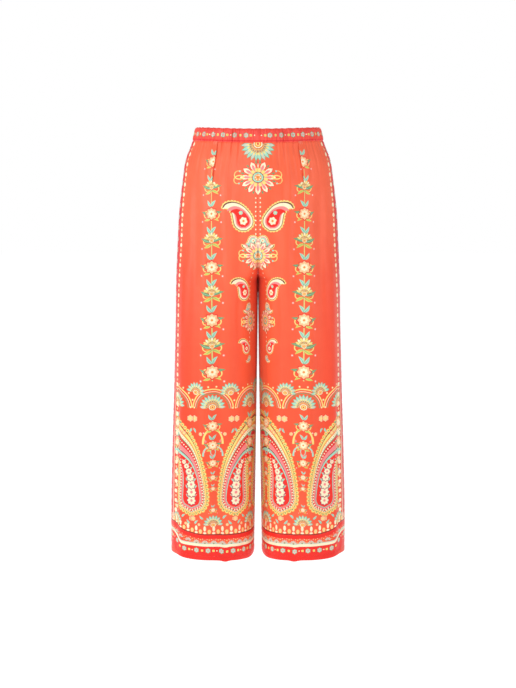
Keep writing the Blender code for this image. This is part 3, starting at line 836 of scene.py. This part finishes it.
class Finish:
    """A material: a shader with its fixed values, and the nodes that vary it over the cloth."""

    def __init__(self, name, **fixed):
        self.material = bpy.data.materials.new(name)
        self.material.use_nodes = True
        self.tree = self.material.node_tree
        self.shader = self.tree.nodes["Principled BSDF"]
        for socket, value in fixed.items():
            self.shader.inputs[socket.replace("_", " ").title()].default_value = value

    def node(self, kind, settings, values, output=0):
        """A node of that kind, with its settings and then its sockets' values or links."""
        made = self.tree.nodes.new("ShaderNode" + kind)
        for key, value in settings.items():
            if key == "stops":
                fill_ramp(made.color_ramp, value)
            else:
                setattr(made, key, value)
        for key, value in values.items():
            if isinstance(value, Value):
                self.tree.links.new(value.socket, made.inputs[key])
            else:
                made.inputs[key].default_value = value
        return Value(self, made.outputs[output])

    def mix(self, factor, first, second):
        """first where the factor is 0, second where it is 1."""
        settings = {"data_type": "RGBA", "clamp_factor": True}
        return self.node("Mix", settings, {0: factor, 6: first, 7: second}, output=2)

    def fade(self, value, start, end):
        """0 where value is at start, 1 where it is at end, and smooth between them."""
        return self.node("MapRange", {"interpolation_type": "SMOOTHSTEP"}, {0: value, 1: start, 2: end})

    def noise(self, vector, scale, detail=2):
        return self.node("TexNoise", {}, {"Vector": vector, "Scale": scale, "Detail": detail})

    def streaks(self, place, across_scale, down_scale, detail):
        """Unevenness drawn out down the cloth, along its warp."""
        stretched = self.node("Mapping", {}, {"Vector": place, "Scale": (across_scale, down_scale, 1)})
        return self.noise(stretched, 1, detail)

    def bump(self, height, strength, distance):
        return self.node("Bump", {}, {"Strength": strength, "Distance": distance, "Height": height})

    def feed(self, **sockets):
        """Links values to the shader's sockets, and gives the material."""
        for socket, value in sockets.items():
            self.tree.links.new(value.socket, self.shader.inputs[socket.replace("_", " ")])
        return self.material


def fill_ramp(ramp, stops):
    """Constant bands of colour, one for each ink."""
    ramp.interpolation = "CONSTANT"
    while len(ramp.elements) > 1:
        ramp.elements.remove(ramp.elements[-1])
    ramp.elements[0].position = 0
    ramp.elements[0].color = stops[0]
    for i, colour in enumerate(stops[1:], 1):
        ramp.elements.new(i / len(stops)).color = colour


def cloth_places(finish):
    """The cloth's own places: the vector, across and drop, in millimetres."""
    place = finish.node("UVMap", {"uv_map": "cloth"}, {})
    across = finish.node("SeparateXYZ", {}, {0: place})
    return place, across, Value(finish, across.socket.node.outputs[1])


def weave_bump(finish, place, across, drop, strength):
    """Long satin floats over fine threads, and the soft unevenness of light cloth."""
    turn = 2 * math.pi
    slant = (across * (turn / FLOAT_PITCH[0]) + drop * (turn / FLOAT_PITCH[1])).sine()
    threads = (across * (turn / THREAD_PITCH[0])).sine() * (drop * (turn / THREAD_PITCH[1])).sine()
    crinkle = finish.noise(place, 0.045, 3)
    floats_high, threads_high, crinkles_high = WEAVE_HEIGHTS
    height = slant * floats_high + threads * threads_high + crinkle * crinkles_high
    return finish.bump(height, strength, MM)


def printed_satin(name, ground, deep, streaks_a_mm, fold_shade_strength):
    """Satin with flat printed inks. Its base colour runs from the top's colour to painted shade at the foot
    and the outseam, and to painted light towards the inseam; random streaks also darken it as painted shade
    of folds.
    """
    finish = Finish(name, sheen_weight=0.08, sheen_roughness=0.4, sheen_tint=(1, 0.8, 0.7, 1))
    finish.shader.inputs["Specular IOR Level"].default_value = 0.3
    place, across, drop = cloth_places(finish)
    ink = finish.node("Attribute", {"attribute_type": "GEOMETRY", "attribute_name": "ink"}, {}, output=2)
    inks = finish.node("ValToRGB", {"stops": [linear(c) for c in INKS.values()]}, {0: ink})
    bare = ink < 1 / len(INKS)

    # Masks for painted shade towards the outseam and painted light towards the inseam.
    side_shade_mask, inseam_light_mask = finish.fade(across, 0, 105), finish.fade(across, -55, -125)
    # Washes of painted shade towards the hem and the outseam, painted light towards the inseam, and the top's
    # colour again near the hem away from the outseam.
    light_and_shade_washes = ((ground["foot"], finish.fade(drop, 90, 640) * 0.85),
              (ground["side"], side_shade_mask * finish.fade(drop, 140, 360) * 0.9),
              (ground["inner"], inseam_light_mask * finish.fade(drop, 290, 400) * 0.5),
              (ground["top"], finish.fade(drop, 720, 800) * (1 - side_shade_mask) * 0.6))
    colour = linear(ground["top"])
    for wash, strength in light_and_shade_washes:
        colour = finish.mix(strength, colour, linear(wash))
    colour = finish.mix(bare, inks, colour)

    # Random mottle and warp streaks, mixed towards the deep colour: partly random tone, partly painted shade
    # of folds and gathers.
    mottle = finish.noise(place, 0.03)
    shade = finish.fade(mottle * 0.5 + finish.streaks(place, streaks_a_mm, 0.02, 2) * 0.5, 0.38, 0.62)
    return finish.feed(Base_Color=finish.mix(shade * fold_shade_strength, colour, linear(deep)),
                       Roughness=0.36 + mottle * 0.12 + bare * -0.03,
                       Normal=weave_bump(finish, place, across, drop, 0.5))


def plain_satin(name, colour, deep, roughness):
    """The wrong side of the cloth: paler, with the weave and faint streaks."""
    finish = Finish(name, sheen_weight=0.25, sheen_roughness=0.45)
    place, across, drop = cloth_places(finish)
    streaks = finish.streaks(place, 1.2, 0.03, 3)
    return finish.feed(Base_Color=finish.mix(streaks, linear(colour), linear(deep)),
                       Roughness=roughness + streaks * 0.1,
                       Normal=weave_bump(finish, place, across, drop, 0.4))


def sewing_thread(name, colour, deep):
    """Twisted thread."""
    finish = Finish(name, sheen_weight=0.4, sheen_roughness=0.4)
    grain = finish.noise(finish.node("TexCoord", {}, {}, output=3), 900)
    return finish.feed(Base_Color=finish.mix(grain * 0.5, linear(colour), linear(deep)),
                       Roughness=0.45 + grain * 0.2,
                       Normal=finish.bump(grain, 0.4, 0.2 * MM))


# ---- shapes of the print: across, and then downwards, from the middle or the foot of each -------
def turned(shape, degrees):
    """Points turned clockwise about the origin."""
    c, s = math.cos(math.radians(degrees)), math.sin(math.radians(degrees))
    return np.asarray(shape, float) @ np.array(((c, s), (-s, c)))


def moved(layers, x, y, turn=0, size=1, side=1):
    """A motif turned clockwise, sized and put in its place. It is mirrored where side is -1."""
    return [(ink, turned(shape * (size * side, size), turn) + (x, y)) for ink, shape in layers]


def oval(wide, tall, x=0, y=0, turn=0, sides=10):
    """An oval with that many corners."""
    angle = np.linspace(0, 2 * np.pi, sides, endpoint=False)
    return turned(pairs(wide / 2 * np.cos(angle), tall / 2 * np.sin(angle)), turn) + (x, y)


def dot(ink, size, x=0, y=0, sides=8):
    """A layer with one round dot."""
    return ink, oval(size, size, x, y, sides=sides)


def petal(length, wide, root=0, sides=5):
    """A petal that starts root above the origin, narrow there and round at its tip."""
    share = np.linspace(0, 1, sides)
    half = wide / 2 * np.sin(np.pi * share ** 1.5) ** 0.75
    right = pairs(half, -root - length * share)
    return np.concatenate([right, right[-2:0:-1] * (-1, 1)])


def round_about(ink, count, shape, first=0):
    """Copies of a shape at even turns round the origin."""
    return [(ink, turned(shape, 360 / count * (i + first))) for i in range(count)]


def leaf(inks, length, wide, x=0, y=0, turn=0):
    """A pointed leaf with a rib."""
    share = np.linspace(0, 1, 6)
    half = wide / 2 * np.sin(np.pi * share ** 0.8)
    bow = wide * 0.25 * np.sin(np.pi * share)
    blade = np.concatenate([pairs(bow + half, -length * share), pairs(bow - half, -length * share)[-2:0:-1]])
    rib = stroke(pairs(bow, -length * share)[:-1], wide * 0.16, wide * 0.05)
    return moved(zip(inks, (blade, rib)), x, y, turn)


def sideways(line):
    """Steps of 1 to the side of a line, at each of its points."""
    ahead = np.gradient(line, axis=0)
    return pairs(-ahead[:, 1], ahead[:, 0]) / np.linalg.norm(ahead, axis=1, keepdims=True)


def stroke(line, start, end):
    """A drawn line whose width changes evenly from its start to its end."""
    aside = sideways(line) * np.linspace(start, end, len(line))[:, None] / 2
    return np.concatenate([line + aside, (line - aside)[::-1]])


def bent_line(heading, length, steps):
    """A line from the origin that follows its headings, 0 for upwards, to the right as they grow."""
    move = pairs(np.sin(heading), -np.cos(heading)) * length / steps
    return np.cumsum(move, axis=0) - move[0]


def curl(length, bend, steps=13):
    """A line from the origin upwards that bends more and more to the right."""
    return bent_line(np.radians(bend) * np.linspace(0, 1, steps) ** 1.5, length, steps)


def tendril(ink, end_ink, length, bend, start, end, tip, steps=13):
    """A curled line with a bud at its tip."""
    line = curl(length, bend, steps)
    return [(ink, stroke(line, start, end)), dot(end_ink, tip, *line[-1])]


def beside(shape, pitch):
    """Places at an even pitch round an outline."""
    closed = np.concatenate([shape, shape[:1]])
    run = np.concatenate([[0], np.cumsum(np.hypot(*np.diff(closed, axis=0).T))])
    count = round(run[-1] / pitch)
    at = (np.arange(count) + 0.5) * run[-1] / count
    return pairs(np.interp(at, run, closed[:, 0]), np.interp(at, run, closed[:, 1]))


def blossom(size, petal_ink="cream", heart_ink="orange", count=6, edge_ink=None):
    """A small flower of round petals."""
    layers = []
    for ink, grow in ((edge_ink, 1.18), (petal_ink, 1)):
        if ink:
            layers += round_about(ink, count, petal(size / 2 * grow, size * 2.3 / count * grow))
    return layers + [dot(heart_ink, size * 0.3)]


def rosette(size, count=12):
    """A round flower head of outlined petals in two tiers round a seeded heart."""
    layers = []
    for ink, length, wide, root, first in ROSETTE_TIERS:
        layers += round_about(ink, count, petal(size * length, size * wide, size * root), first)
    layers += [dot(ink, size * wide, sides=sides) for ink, wide, sides in ROSETTE_HEART]
    return layers + [dot("cream", size * 0.045, *seed, 6) for seed in oval(size * 0.13, size * 0.13, sides=6)]


def fan(radius, count=9, spread=150, tips=("stone", "mint")):
    """A palmette: petals that open upwards from a small striped shell."""
    wide = 2 * math.pi * radius * 0.75 * spread / 360 / count
    tiers = ((("green",), 0.79, 1.2, 0.24), (tips, 0.74, 1, 0.25), (("butter",), 0.46, 0.55, 0.25),
             (("plum",), 0.2, 0.3, 0.34))
    layers = []
    for inks, length, width, root in tiers:
        blade = petal(radius * length, wide * width, radius * root)
        for i, turn in enumerate(np.linspace(-spread / 2, spread / 2, count)):
            layers.append((inks[i % len(inks)], turned(blade, turn)))
    return layers + [(ink, oval(radius * s, radius * s * 0.86, sides=14)) for ink, s in FAN_SHELL]


def boteh_spine(length, wide, bend, steps=22):
    """How far along, and where, the middle line of a boteh runs from its foot to its bent tip."""
    share = np.linspace(0, 1, steps)
    return share, bent_line(np.radians(bend) * share ** 3, length, steps - 1) + (0, wide / 2)


def boteh_outline(length, wide, bend):
    """A drop with a round foot about the origin and a tip that bends over to the right."""
    share, spine = boteh_spine(length, wide, bend)
    foot = wide / 2 / length
    round_foot = np.sqrt(np.clip(1 - ((foot - share) / foot) ** 2, 0, 1))
    rest = np.clip((share - foot) / (1 - foot), 0, 1)
    aside = sideways(spine) * (wide / 2 * np.where(share < foot, round_foot, 1 - rest ** 1.35))[:, None]
    return np.concatenate([spine + aside, (spine - aside)[-2:0:-1]])


def small_boteh(length, field="red"):
    """A boteh of three bands round a plain field, with a flower in it."""
    wide = length * 0.5
    outline = boteh_outline(length, wide, 120)
    layers = [dot("butter", wide * 0.17, x, y, 7) for x, y in beside(outline, wide * 0.15)]
    layers += [(ink, outline * s) for ink, s in SMALL_BANDS + ((field, 0.62),)]
    layers += blossom(wide * 0.42)
    return layers + moved(blossom(wide * 0.22, "mint", "butter"), 0, -wide * 0.42)


def great_boteh(length, wide, bend):
    """A tall boteh: scalloped halo, many bands, a row of pearls, and flowers up its field."""
    outline = boteh_outline(length, wide, bend)
    halo = beside(outline * 1.1, 8.2)
    layers = [dot(ink, size, x, y, sides) for ink, size, sides in HALO for x, y in halo]
    layers += [(ink, outline * s) for ink, s in GREAT_BANDS]
    layers += [dot("cream", 3.4, x, y, 7) for x, y in beside(outline * 0.79, 6.2)]
    layers += [dot("brown", 2, x, y, 4) for x, y in beside(outline * 0.895, 5.2)]
    share, spine = boteh_spine(length, wide, bend)
    for at, size in GREAT_FLOWERS:
        flower = blossom(size, "cream", "pink", 8, "plum")
        for way in (-1, 1):
            flower += leaf(("mint", "green"), size * 0.52, size * 0.2,
                           way * size * 0.22, -size * 0.34, way * 48)
        x, y = (np.interp(at + 0.05, share, spine[:, i]) * 0.59 for i in (0, 1))
        layers += moved(flower, x, y)
    return layers


def sprig(size, bloom):
    """One joint of the stem: a flower or a bud with leaves in pairs and curled tendrils."""
    layers = []
    for way in (-1, 1):
        line = turned(curl(size * 0.95, 250) * (way, 1), way * 42)
        layers += [("butter", stroke(line, size * 0.1, size * 0.03)), dot("orange", size * 0.13, *line[-1])]
        for blade, rib, length, wide, turn, y in SPRIG_LEAVES:
            layers += leaf((blade, rib), size * length, size * wide, 0, size * y, way * turn)
        layers += [dot("pink", size * 0.12, way * size * 0.52, size * 0.42),
                   dot("cream", size * 0.06, way * size * 0.52, size * 0.42, 6)]
    if bloom:
        return layers + blossom(size * 0.62, "peach", "butter", 8, "crimson") + blossom(size * 0.38, count=8)
    return layers + fan(size * 0.42, 7, 130, ("butter", "cream"))


def chain_link(kind, size=1):
    """A flower, square or dot of the narrow flower stripe."""
    if kind == "flower":
        return moved(blossom(10.4, "stone", "pink", 6, "green"), 0, 0, size=size)
    if kind == "square":
        return moved([dot("butter", 6.6, sides=4), dot("lime", 3.8, sides=4)], 0, 0, 45, size)
    return [dot("cream", 3 * size, sides=7)]


# ---- the print on each piece ------------------------------------------------------------------
class Print:
    """The ornament of one panel: inks and outlines, in painting order, in the places of its cloth."""

    def __init__(self, panel):
        self.panel, self.layers = panel, []
        self.hem_from, self.hem_to = panel.seam_places(HEM)

    def put(self, layers, along, drop, **how):
        """A motif at the place where it shows. Past the pleat it moves over by the cloth hidden there."""
        for ink, shape in moved(layers, along, drop, **how):
            if along < PRINT_PAST_PLEAT:
                shape = shape - pairs(self.panel.intake(shape[:, 1]), 0)
            self.layers.append((ink, shape))

    def ribbon(self, ink, first, second):
        """The band between two lines."""
        self.layers.append((ink, np.concatenate([first, second[::-1]])))

    def upright(self, ink, near, far, drops):
        """A band that runs down beside the outseam; near and far are its distances from that seam."""
        outer = self.panel.seams(drops)[1]
        self.ribbon(ink, pairs(outer - near, drops), pairs(outer - far, drops))

    def along_hem(self, pitch, before, past):
        """Places round the hem, from before its inner seam to past its outseam."""
        return np.arange(self.hem_from - before, self.hem_to + past, pitch)

    def above_hem(self, along, up, line):
        """The drop that high above the hem, raised as the frame line or the peg line is."""
        rise = frame_rise if line == "frame" else peg_rise
        return HEM - up - rise(self.hem_to - along)


def guard(drop):
    """Distance of the line of pearls from the outseam."""
    return np.interp(drop, *zip(*GUARD_PLACES))


def frame_rise(from_outseam):
    """The cream line runs level, turns up over a chamfer and then stands upright."""
    end, start, rise = FRAME_CORNER
    return rise * np.clip((start - from_outseam) / (start - end), 0, 1)


def peg_rise(from_outseam):
    """The pegs' line curves up towards the outer corner."""
    rise, start, over, power = PEG_CURVE
    return rise * np.clip((start - from_outseam) / over, 0, 1) ** power


def outseam_border(work):
    """A crimson edge with small flowers, and the guard line of pearls beside it."""
    drops = spaced(PANEL_TOP - 2, HEM - FRAME_LINE, 14)
    work.upright("crimson", -3, guard(drops) - EDGE_INSET, drops)
    for i, drop in enumerate(np.arange(20, HEM - PEG_LINE - 22, GUARD_PITCH)):
        wide, tall, ink = GUARD_PEARLS[i % 2]
        place = work.panel.seam_places(drop)[1] - guard(drop)
        work.layers.append((ink, oval(wide, tall, place, drop, sides=9)))
    cross = [leaf(("mint",), 8, 3.6, turn=turn)[0] for turn in CROSS_TURNS] + [dot("butter", 4.4)]
    for i, drop in enumerate(np.arange(32, HEM - PEG_LINE - 30, EDGE_PITCH)):
        place = work.panel.seam_places(drop)[1] - EDGE_FLOWERS_AT * guard(drop)
        work.put(cross if i % 2 else blossom(11, "stone", "pink", 5, "brown"), place, drop)
    start, full, widest = FRAME_UPRIGHT
    upright = spaced(start, HEM - FRAME_LINE - FRAME_CORNER[2], 16)
    half, middle = widest / 2 * soft_step(upright, start, full), FRAME_CORNER[0] - 3
    work.upright("cream", middle - half, middle + half + 0.1, upright)


def hem_border(work):
    """From the hem up: a red edge with a chain of flowers, the cream frame line, lace, and pegs."""
    along = spaced(work.hem_from - 25, work.hem_to + 5, 5)
    for ink, low, high, line in HEM_BANDS:
        work.ribbon(ink, *(pairs(along, work.above_hem(along, up, line)) for up in (low, high)))
    half = PEG_PITCH / 2
    for along in work.along_hem(PEG_PITCH, 12, 4):
        drop, between = (work.above_hem(along + step, PEG_LINE, "peg") for step in (0, half))
        for ink, wide, tall, x, y, sides in (
                ("cream", 7.4, 4.4, along, drop - 2.4, 9),
                ("cream", 5.8, 11.6, along, drop - 11.6, 10),
                ("butter", 7, 9.6, along + half, between - 5.4, 9),
                ("peach", 4.4, 6.4, along + half, between - 5.4, 8)):
            work.layers.append((ink, oval(wide, tall, x, y, sides=sides)))
    for along in work.along_hem(PEG_PITCH, 12, 4):
        drop = HEM - FRAME_LINE - 6.4 - peg_rise(work.hem_to - along) * 0.9
        for turn in LACE_TURNS:
            work.put([("stone", petal(6.2, 2.6, 1.6))], along, drop, turn=turn)
        work.layers += [("green", oval(3.4, 2.6, along, drop - 0.6, sides=7)),
                        dot("butter", 2.4, along + half, drop - 8, 6),
                        dot("lime", 2, along + half, drop - 2.6, 6),
                        dot("cream", 1.6, along + half / 2, drop - 9.6, 6),
                        dot("cream", 1.6, along - half / 2, drop - 9.6, 6)]
    for start in work.along_hem(CHAIN_REPEAT, 10, 6):
        for kind, step in HEM_CHAIN:
            work.put(chain_link(kind), start + step, work.above_hem(start + step, CHAIN_LINE, "frame"))


def centre_chain(work):
    """Down the centre seam: flower heads that the seam halves, and botehs that lean away from it."""
    work.put(fan(34, 11, 170), centre_seam(work, 20), 17, turn=180)
    for kind, drop, size in CENTRE_CHAIN:
        seam = centre_seam(work, drop)
        if kind == "rosette":
            work.put(rosette(size), seam, drop)
            curled = tendril("butter", "mint", size * 0.62, 230, 3, 1, 4)
            for turn, side in ((52, 1), (128, -1)):
                work.put(curled, seam + size * 0.38, drop, turn=turn, side=side)
        else:
            work.put(small_boteh(size), seam + size * 0.36, drop - size * 0.12, turn=18)
            work.put(small_boteh(size * 0.5, "mint"), seam + size * 0.12, drop + size * 0.36,
                     turn=150, side=-1)
    for drop in np.arange(*CHAIN_DROPS):
        work.put([("cream", oval(3, 3.6, sides=7))], centre_seam(work, drop) + 4.5, drop)


def centre_seam(work, drop):
    """The seam's place, and straight on below the hips."""
    return float(work.panel.levels.ends(min(drop, STRAIGHT_FROM))[0])


def stem(work):
    """Up the crease line: a straight stem with a flower or a bud at each joint."""
    line = pairs(STEM_PLACE, spaced(*STEM_DROPS, 20))
    work.put([("green", stroke(line, 1.4, 3.4)), ("butter", stroke(line, 0.8, 2))], 0, 0)
    for i, drop in enumerate(np.arange(SPRIG_PITCH, 500, SPRIG_PITCH)):
        work.put(sprig(36 + 12 * (drop / 500), i % 2 == 0), STEM_PLACE, drop)


def lower_field(work):
    """The deep band of tall botehs, with palmettes, flowers and tendrils between them."""
    for place in CHANNELS:
        arcades(work, place)
    for place, side in GREAT_BOTEHS:
        for drop, length, bend, wide, ink in GREAT_TENDRILS:
            work.put(tendril(ink, "pink", length, bend, wide, 1, 5, 18), place - side * 27, GREAT_FOOT + drop,
                     turn=side * 4, side=-side)
        work.put(great_boteh(GREAT_LENGTH, GREAT_WIDTH, GREAT_BEND), place, GREAT_FOOT, side=side)
        work.put(fan(22, 9, 170, ("mint", "stone")), place - side * 10, GREAT_FOOT - GREAT_LENGTH * 0.9,
                 turn=-side * 10)
    for place in CHANNELS:
        work.put(fan(21, 9, 170), place, 812)
        for drop, size in CHANNEL_SPRIGS:
            work.put(sprig(size, True), place, drop)
        for way in (-1, 1):
            for across, drop, size in CHANNEL_FLOWERS:
                work.put(blossom(size, "peach", "butter", 6, "crimson"), place + way * across, drop)
            for across, drop, turn in CHANNEL_LEAVES:
                work.put(leaf(("mint", "green"), 12, 4.4, turn=way * turn), place + way * across, drop)


def arcades(work, place):
    """Three nested arches of line over a palmette, with pearls along the outer one."""
    angle = np.radians(np.linspace(-86, 86, 19))
    arch = pairs(np.sin(angle), -np.cos(angle))
    for radius, wide, ink in ARCHES:
        work.put([(ink, stroke(arch * radius, wide, wide))], place, ARCADE_DROP)
    for x, y in arch[::2] * ARCADE_PEARLS_AT:
        work.put([dot("orange", 5.6, x, y), dot("cream", 3.4, x, y, 7)], place, ARCADE_DROP)
    work.put(fan(27, 11, 180), place, ARCADE_DROP - 6)


def ornament(panel):
    """All that is printed on a panel, in painting order."""
    work = Print(panel)
    for part in (lower_field, stem, centre_chain, outseam_border, hem_border):
        part(work)
    return work.layers


def waist_stripe(band):
    """Flowers, squares and dots round the middle of the waistband, and a crimson line of painted shade over
    its seam.
    """
    arounds = spaced(-2, band.whole + 2, 3)
    # A crimson band, painted where the casing's row of stitches casts shade.
    top, foot = (pairs(arounds, drop) for drop in SEAM_SHADE_LINE)
    layers = [("crimson", np.concatenate([top, foot[::-1]]))]
    for start in np.arange(0, band.whole, STRIPE_REPEAT):
        for kind, step in BAND_CHAIN[(1 if start else 0):]:
            layers += moved(chain_link(kind, 0.98), start + step, STRIPE_DROP)
    return layers


# ---- pieces -----------------------------------------------------------------------------------
# Base colour at the top, with painted shade at the foot and the side and painted light at the inner seam; on
# the waistband only the darker side differs.
PANEL_GROUND_AND_SHADE = {"top": (252, 106, 70), "foot": (248, 84, 50), "side": (246, 64, 34), "inner": (255, 136, 96)}
BAND_GROUND_AND_SHADE = {"top": (248, 82, 70), "foot": (248, 82, 70), "side": (242, 64, 58), "inner": (248, 82, 70)}
# The deep reds and the last numbers give painted shade of folds; the waistband's narrow, strong streaks stand
# in for the shade of its gathers.
CLOTH = printed_satin("printed satin", PANEL_GROUND_AND_SHADE, (206, 22, 18), 1.6, 0.1)
BAND_CLOTH = printed_satin("waistband satin", BAND_GROUND_AND_SHADE, (196, 20, 22), 0.3, 0.34)
WRONG_SIDE = plain_satin("satin wrong side", (250, 134, 104), (240, 108, 82), 0.55)
THREAD = sewing_thread("coral thread", (236, 60, 44), (176, 26, 30))


def stitches(name, surface, start, end, drop):
    """A row of raised stitches across the cloth, in one mesh: each is a slim six-cornered bead."""
    across = np.arange(start, end, STITCH_PITCH)
    drop = np.full_like(across, drop)
    middle, normal = surface.at(across, drop), surface.facing(across, drop)
    first, last = (surface.at(across + way * STITCH_LENGTH / 2, drop) for way in (-1, 1))
    aside = np.cross(normal, last - first)
    aside *= STITCH_WIDTH / 2 / np.linalg.norm(aside, axis=1, keepdims=True)
    rise = normal * STITCH_WIDTH * STITCH_RISE[0]
    ring = (middle + aside, middle + rise, middle - aside, middle - rise * STITCH_RISE[1])
    corners = np.stack([first, *ring, last], axis=1)
    bead = [(0, 1 + i, 1 + (i + 1) % 4) for i in range(4)] + [(5, 1 + (i + 1) % 4, 1 + i) for i in range(4)]
    faces = (np.array(bead) + 6 * np.arange(len(across))[:, None, None]).reshape(-1, 3)
    mesh = bpy.data.meshes.new(name)
    mesh.from_pydata((corners.reshape(-1, 3) * MM).tolist(), [], faces.tolist())
    mesh.materials.append(THREAD)
    mesh.shade_smooth()
    return new_piece(name, mesh)


def make_panel(face, side):
    """A front or back panel with the stitches of its hem."""
    panel, name = Panel(face, side), face + "_" + side
    outline = panel_outline(panel)
    lines = pleat_lines() if face == "front" else []
    piece = cloth_shell(name + "_cloth", panel, outline, lines, panel_grid(panel), ornament(panel),
                        CLOTH_THICKNESS, (CLOTH, WRONG_SIDE))
    inner, outer = panel.seam_places(HEM)
    sewn = stitches(name + "_hem_stitches", panel, inner + 2, outer - 2, HEM - HEM_FOLD)
    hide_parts(name)


def make_band(side):
    """One half of the waistband with its row of stitches."""
    band, name = Band(side), "waistband_" + side
    arounds = spaced(BAND_END_GAP, band.whole - BAND_END_GAP, BAND_STEPS[0])
    heights = spaced(-BAND_FOOT, BAND_FOOT, BAND_STEPS[1])
    outline = [(a, heights[0]) for a in arounds[:-1]] + [(arounds[-1], d) for d in heights[:-1]]
    outline += [(a, heights[-1]) for a in arounds[:0:-1]] + [(arounds[0], d) for d in heights[:0:-1]]
    grid = [(a, d) for a in arounds[1:-1] for d in heights[1:-1]]
    piece = cloth_shell(name + "_cloth", band, outline, [], grid, waist_stripe(band), CASING_THICKNESS,
                        (BAND_CLOTH, WRONG_SIDE))
    sewn = stitches(name + "_stitches", band, 2, band.whole - 2, BAND_FOOT - BAND_STITCH_UP)
    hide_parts(name)
    band.whole * BAND_FULLNESS * MM


for side in ("left", "right"):
    for face in ("front", "back"):
        make_panel(face, side)
    make_band(side)


# ---- stage ------------------------------------------------------------------------------------
WHITE = (1, 1, 1, 1)
FLOOR_DROP = 1.03
FLOOR_GREY, FLOOR_GLOW = 0.25, 0.9
SURROUND_LIGHT = 0.4
CAMERA_PLACE = (0, -2.6, -0.1)
CAMERA_PITCH = math.radians(7.464)
CAMERA_LENS = 64.36
SENSOR_WIDTH = 36
LIGHTS_AIM = (0, 0, -0.45)
SOFTBOXES = (   # name, place, size, power
    ("front softbox", (-0.9, -2.9, 0.9), (1.2, 1.2), 30),
    ("left softbox", (2.7, -1.1, 0.5), (0.6, 1.8), 17),
    ("right softbox", (-2.7, -1.1, 0.5), (0.6, 1.8), 30),
    ("back softbox", (0, 3, 0.9), (1.8, 1.8), 40),
)


def make_floor():
    """A wide pale floor, well below the hems."""
    bpy.ops.mesh.primitive_circle_add(vertices=96, radius=14, fill_type="NGON", location=(0, 0, -FLOOR_DROP))
    floor = bpy.context.object
    floor.name = "studio_floor"
    finish = Finish("pale floor", roughness=0.9, base_color=(FLOOR_GREY, FLOOR_GREY, FLOOR_GREY, 1),
                    emission_color=WHITE, emission_strength=FLOOR_GLOW)
    floor.data.materials.append(finish.material)


def make_softbox(name, place, size, power):
    """A soft light that aims at the middle of the garment."""
    data = bpy.data.lights.new(name, "AREA")
    data.shape = "RECTANGLE"
    data.size, data.size_y = size
    data.energy = power
    light = bpy.data.objects.new(name, data)
    light.location = place
    light.rotation_euler = (Vector(LIGHTS_AIM) - Vector(place)).to_track_quat("-Z", "Y").to_euler()
    bpy.context.scene.collection.objects.link(light)


def make_world():
    """An even pale surround, white to the eye and softer as a light."""
    world = bpy.data.worlds.new("studio")
    bpy.context.scene.world = world
    world.use_nodes = True
    nodes, links = world.node_tree.nodes, world.node_tree.links
    nodes.clear()
    path, strength, background, output = (
        nodes.new("ShaderNode" + kind) for kind in ("LightPath", "MapRange", "Background", "OutputWorld"))
    strength.inputs["To Min"].default_value = SURROUND_LIGHT
    background.inputs["Color"].default_value = WHITE
    links.new(path.outputs["Is Camera Ray"], strength.inputs["Value"])
    links.new(strength.outputs[0], background.inputs["Strength"])
    links.new(background.outputs[0], output.inputs["Surface"])


def make_camera():
    """The photo's view: from in front, a little below the waist, tilted down."""
    data = bpy.data.cameras.new("camera")
    data.lens = CAMERA_LENS
    data.sensor_width = SENSOR_WIDTH
    camera = bpy.data.objects.new("camera", data)
    camera.location = CAMERA_PLACE
    camera.rotation_euler = (math.pi / 2 - CAMERA_PITCH, 0, 0)
    bpy.context.scene.collection.objects.link(camera)
    bpy.context.scene.camera = camera


make_floor()
make_world()
make_camera()
for softbox in SOFTBOXES:
    make_softbox(*softbox)
bpy.context.scene.view_settings.view_transform = "Standard"
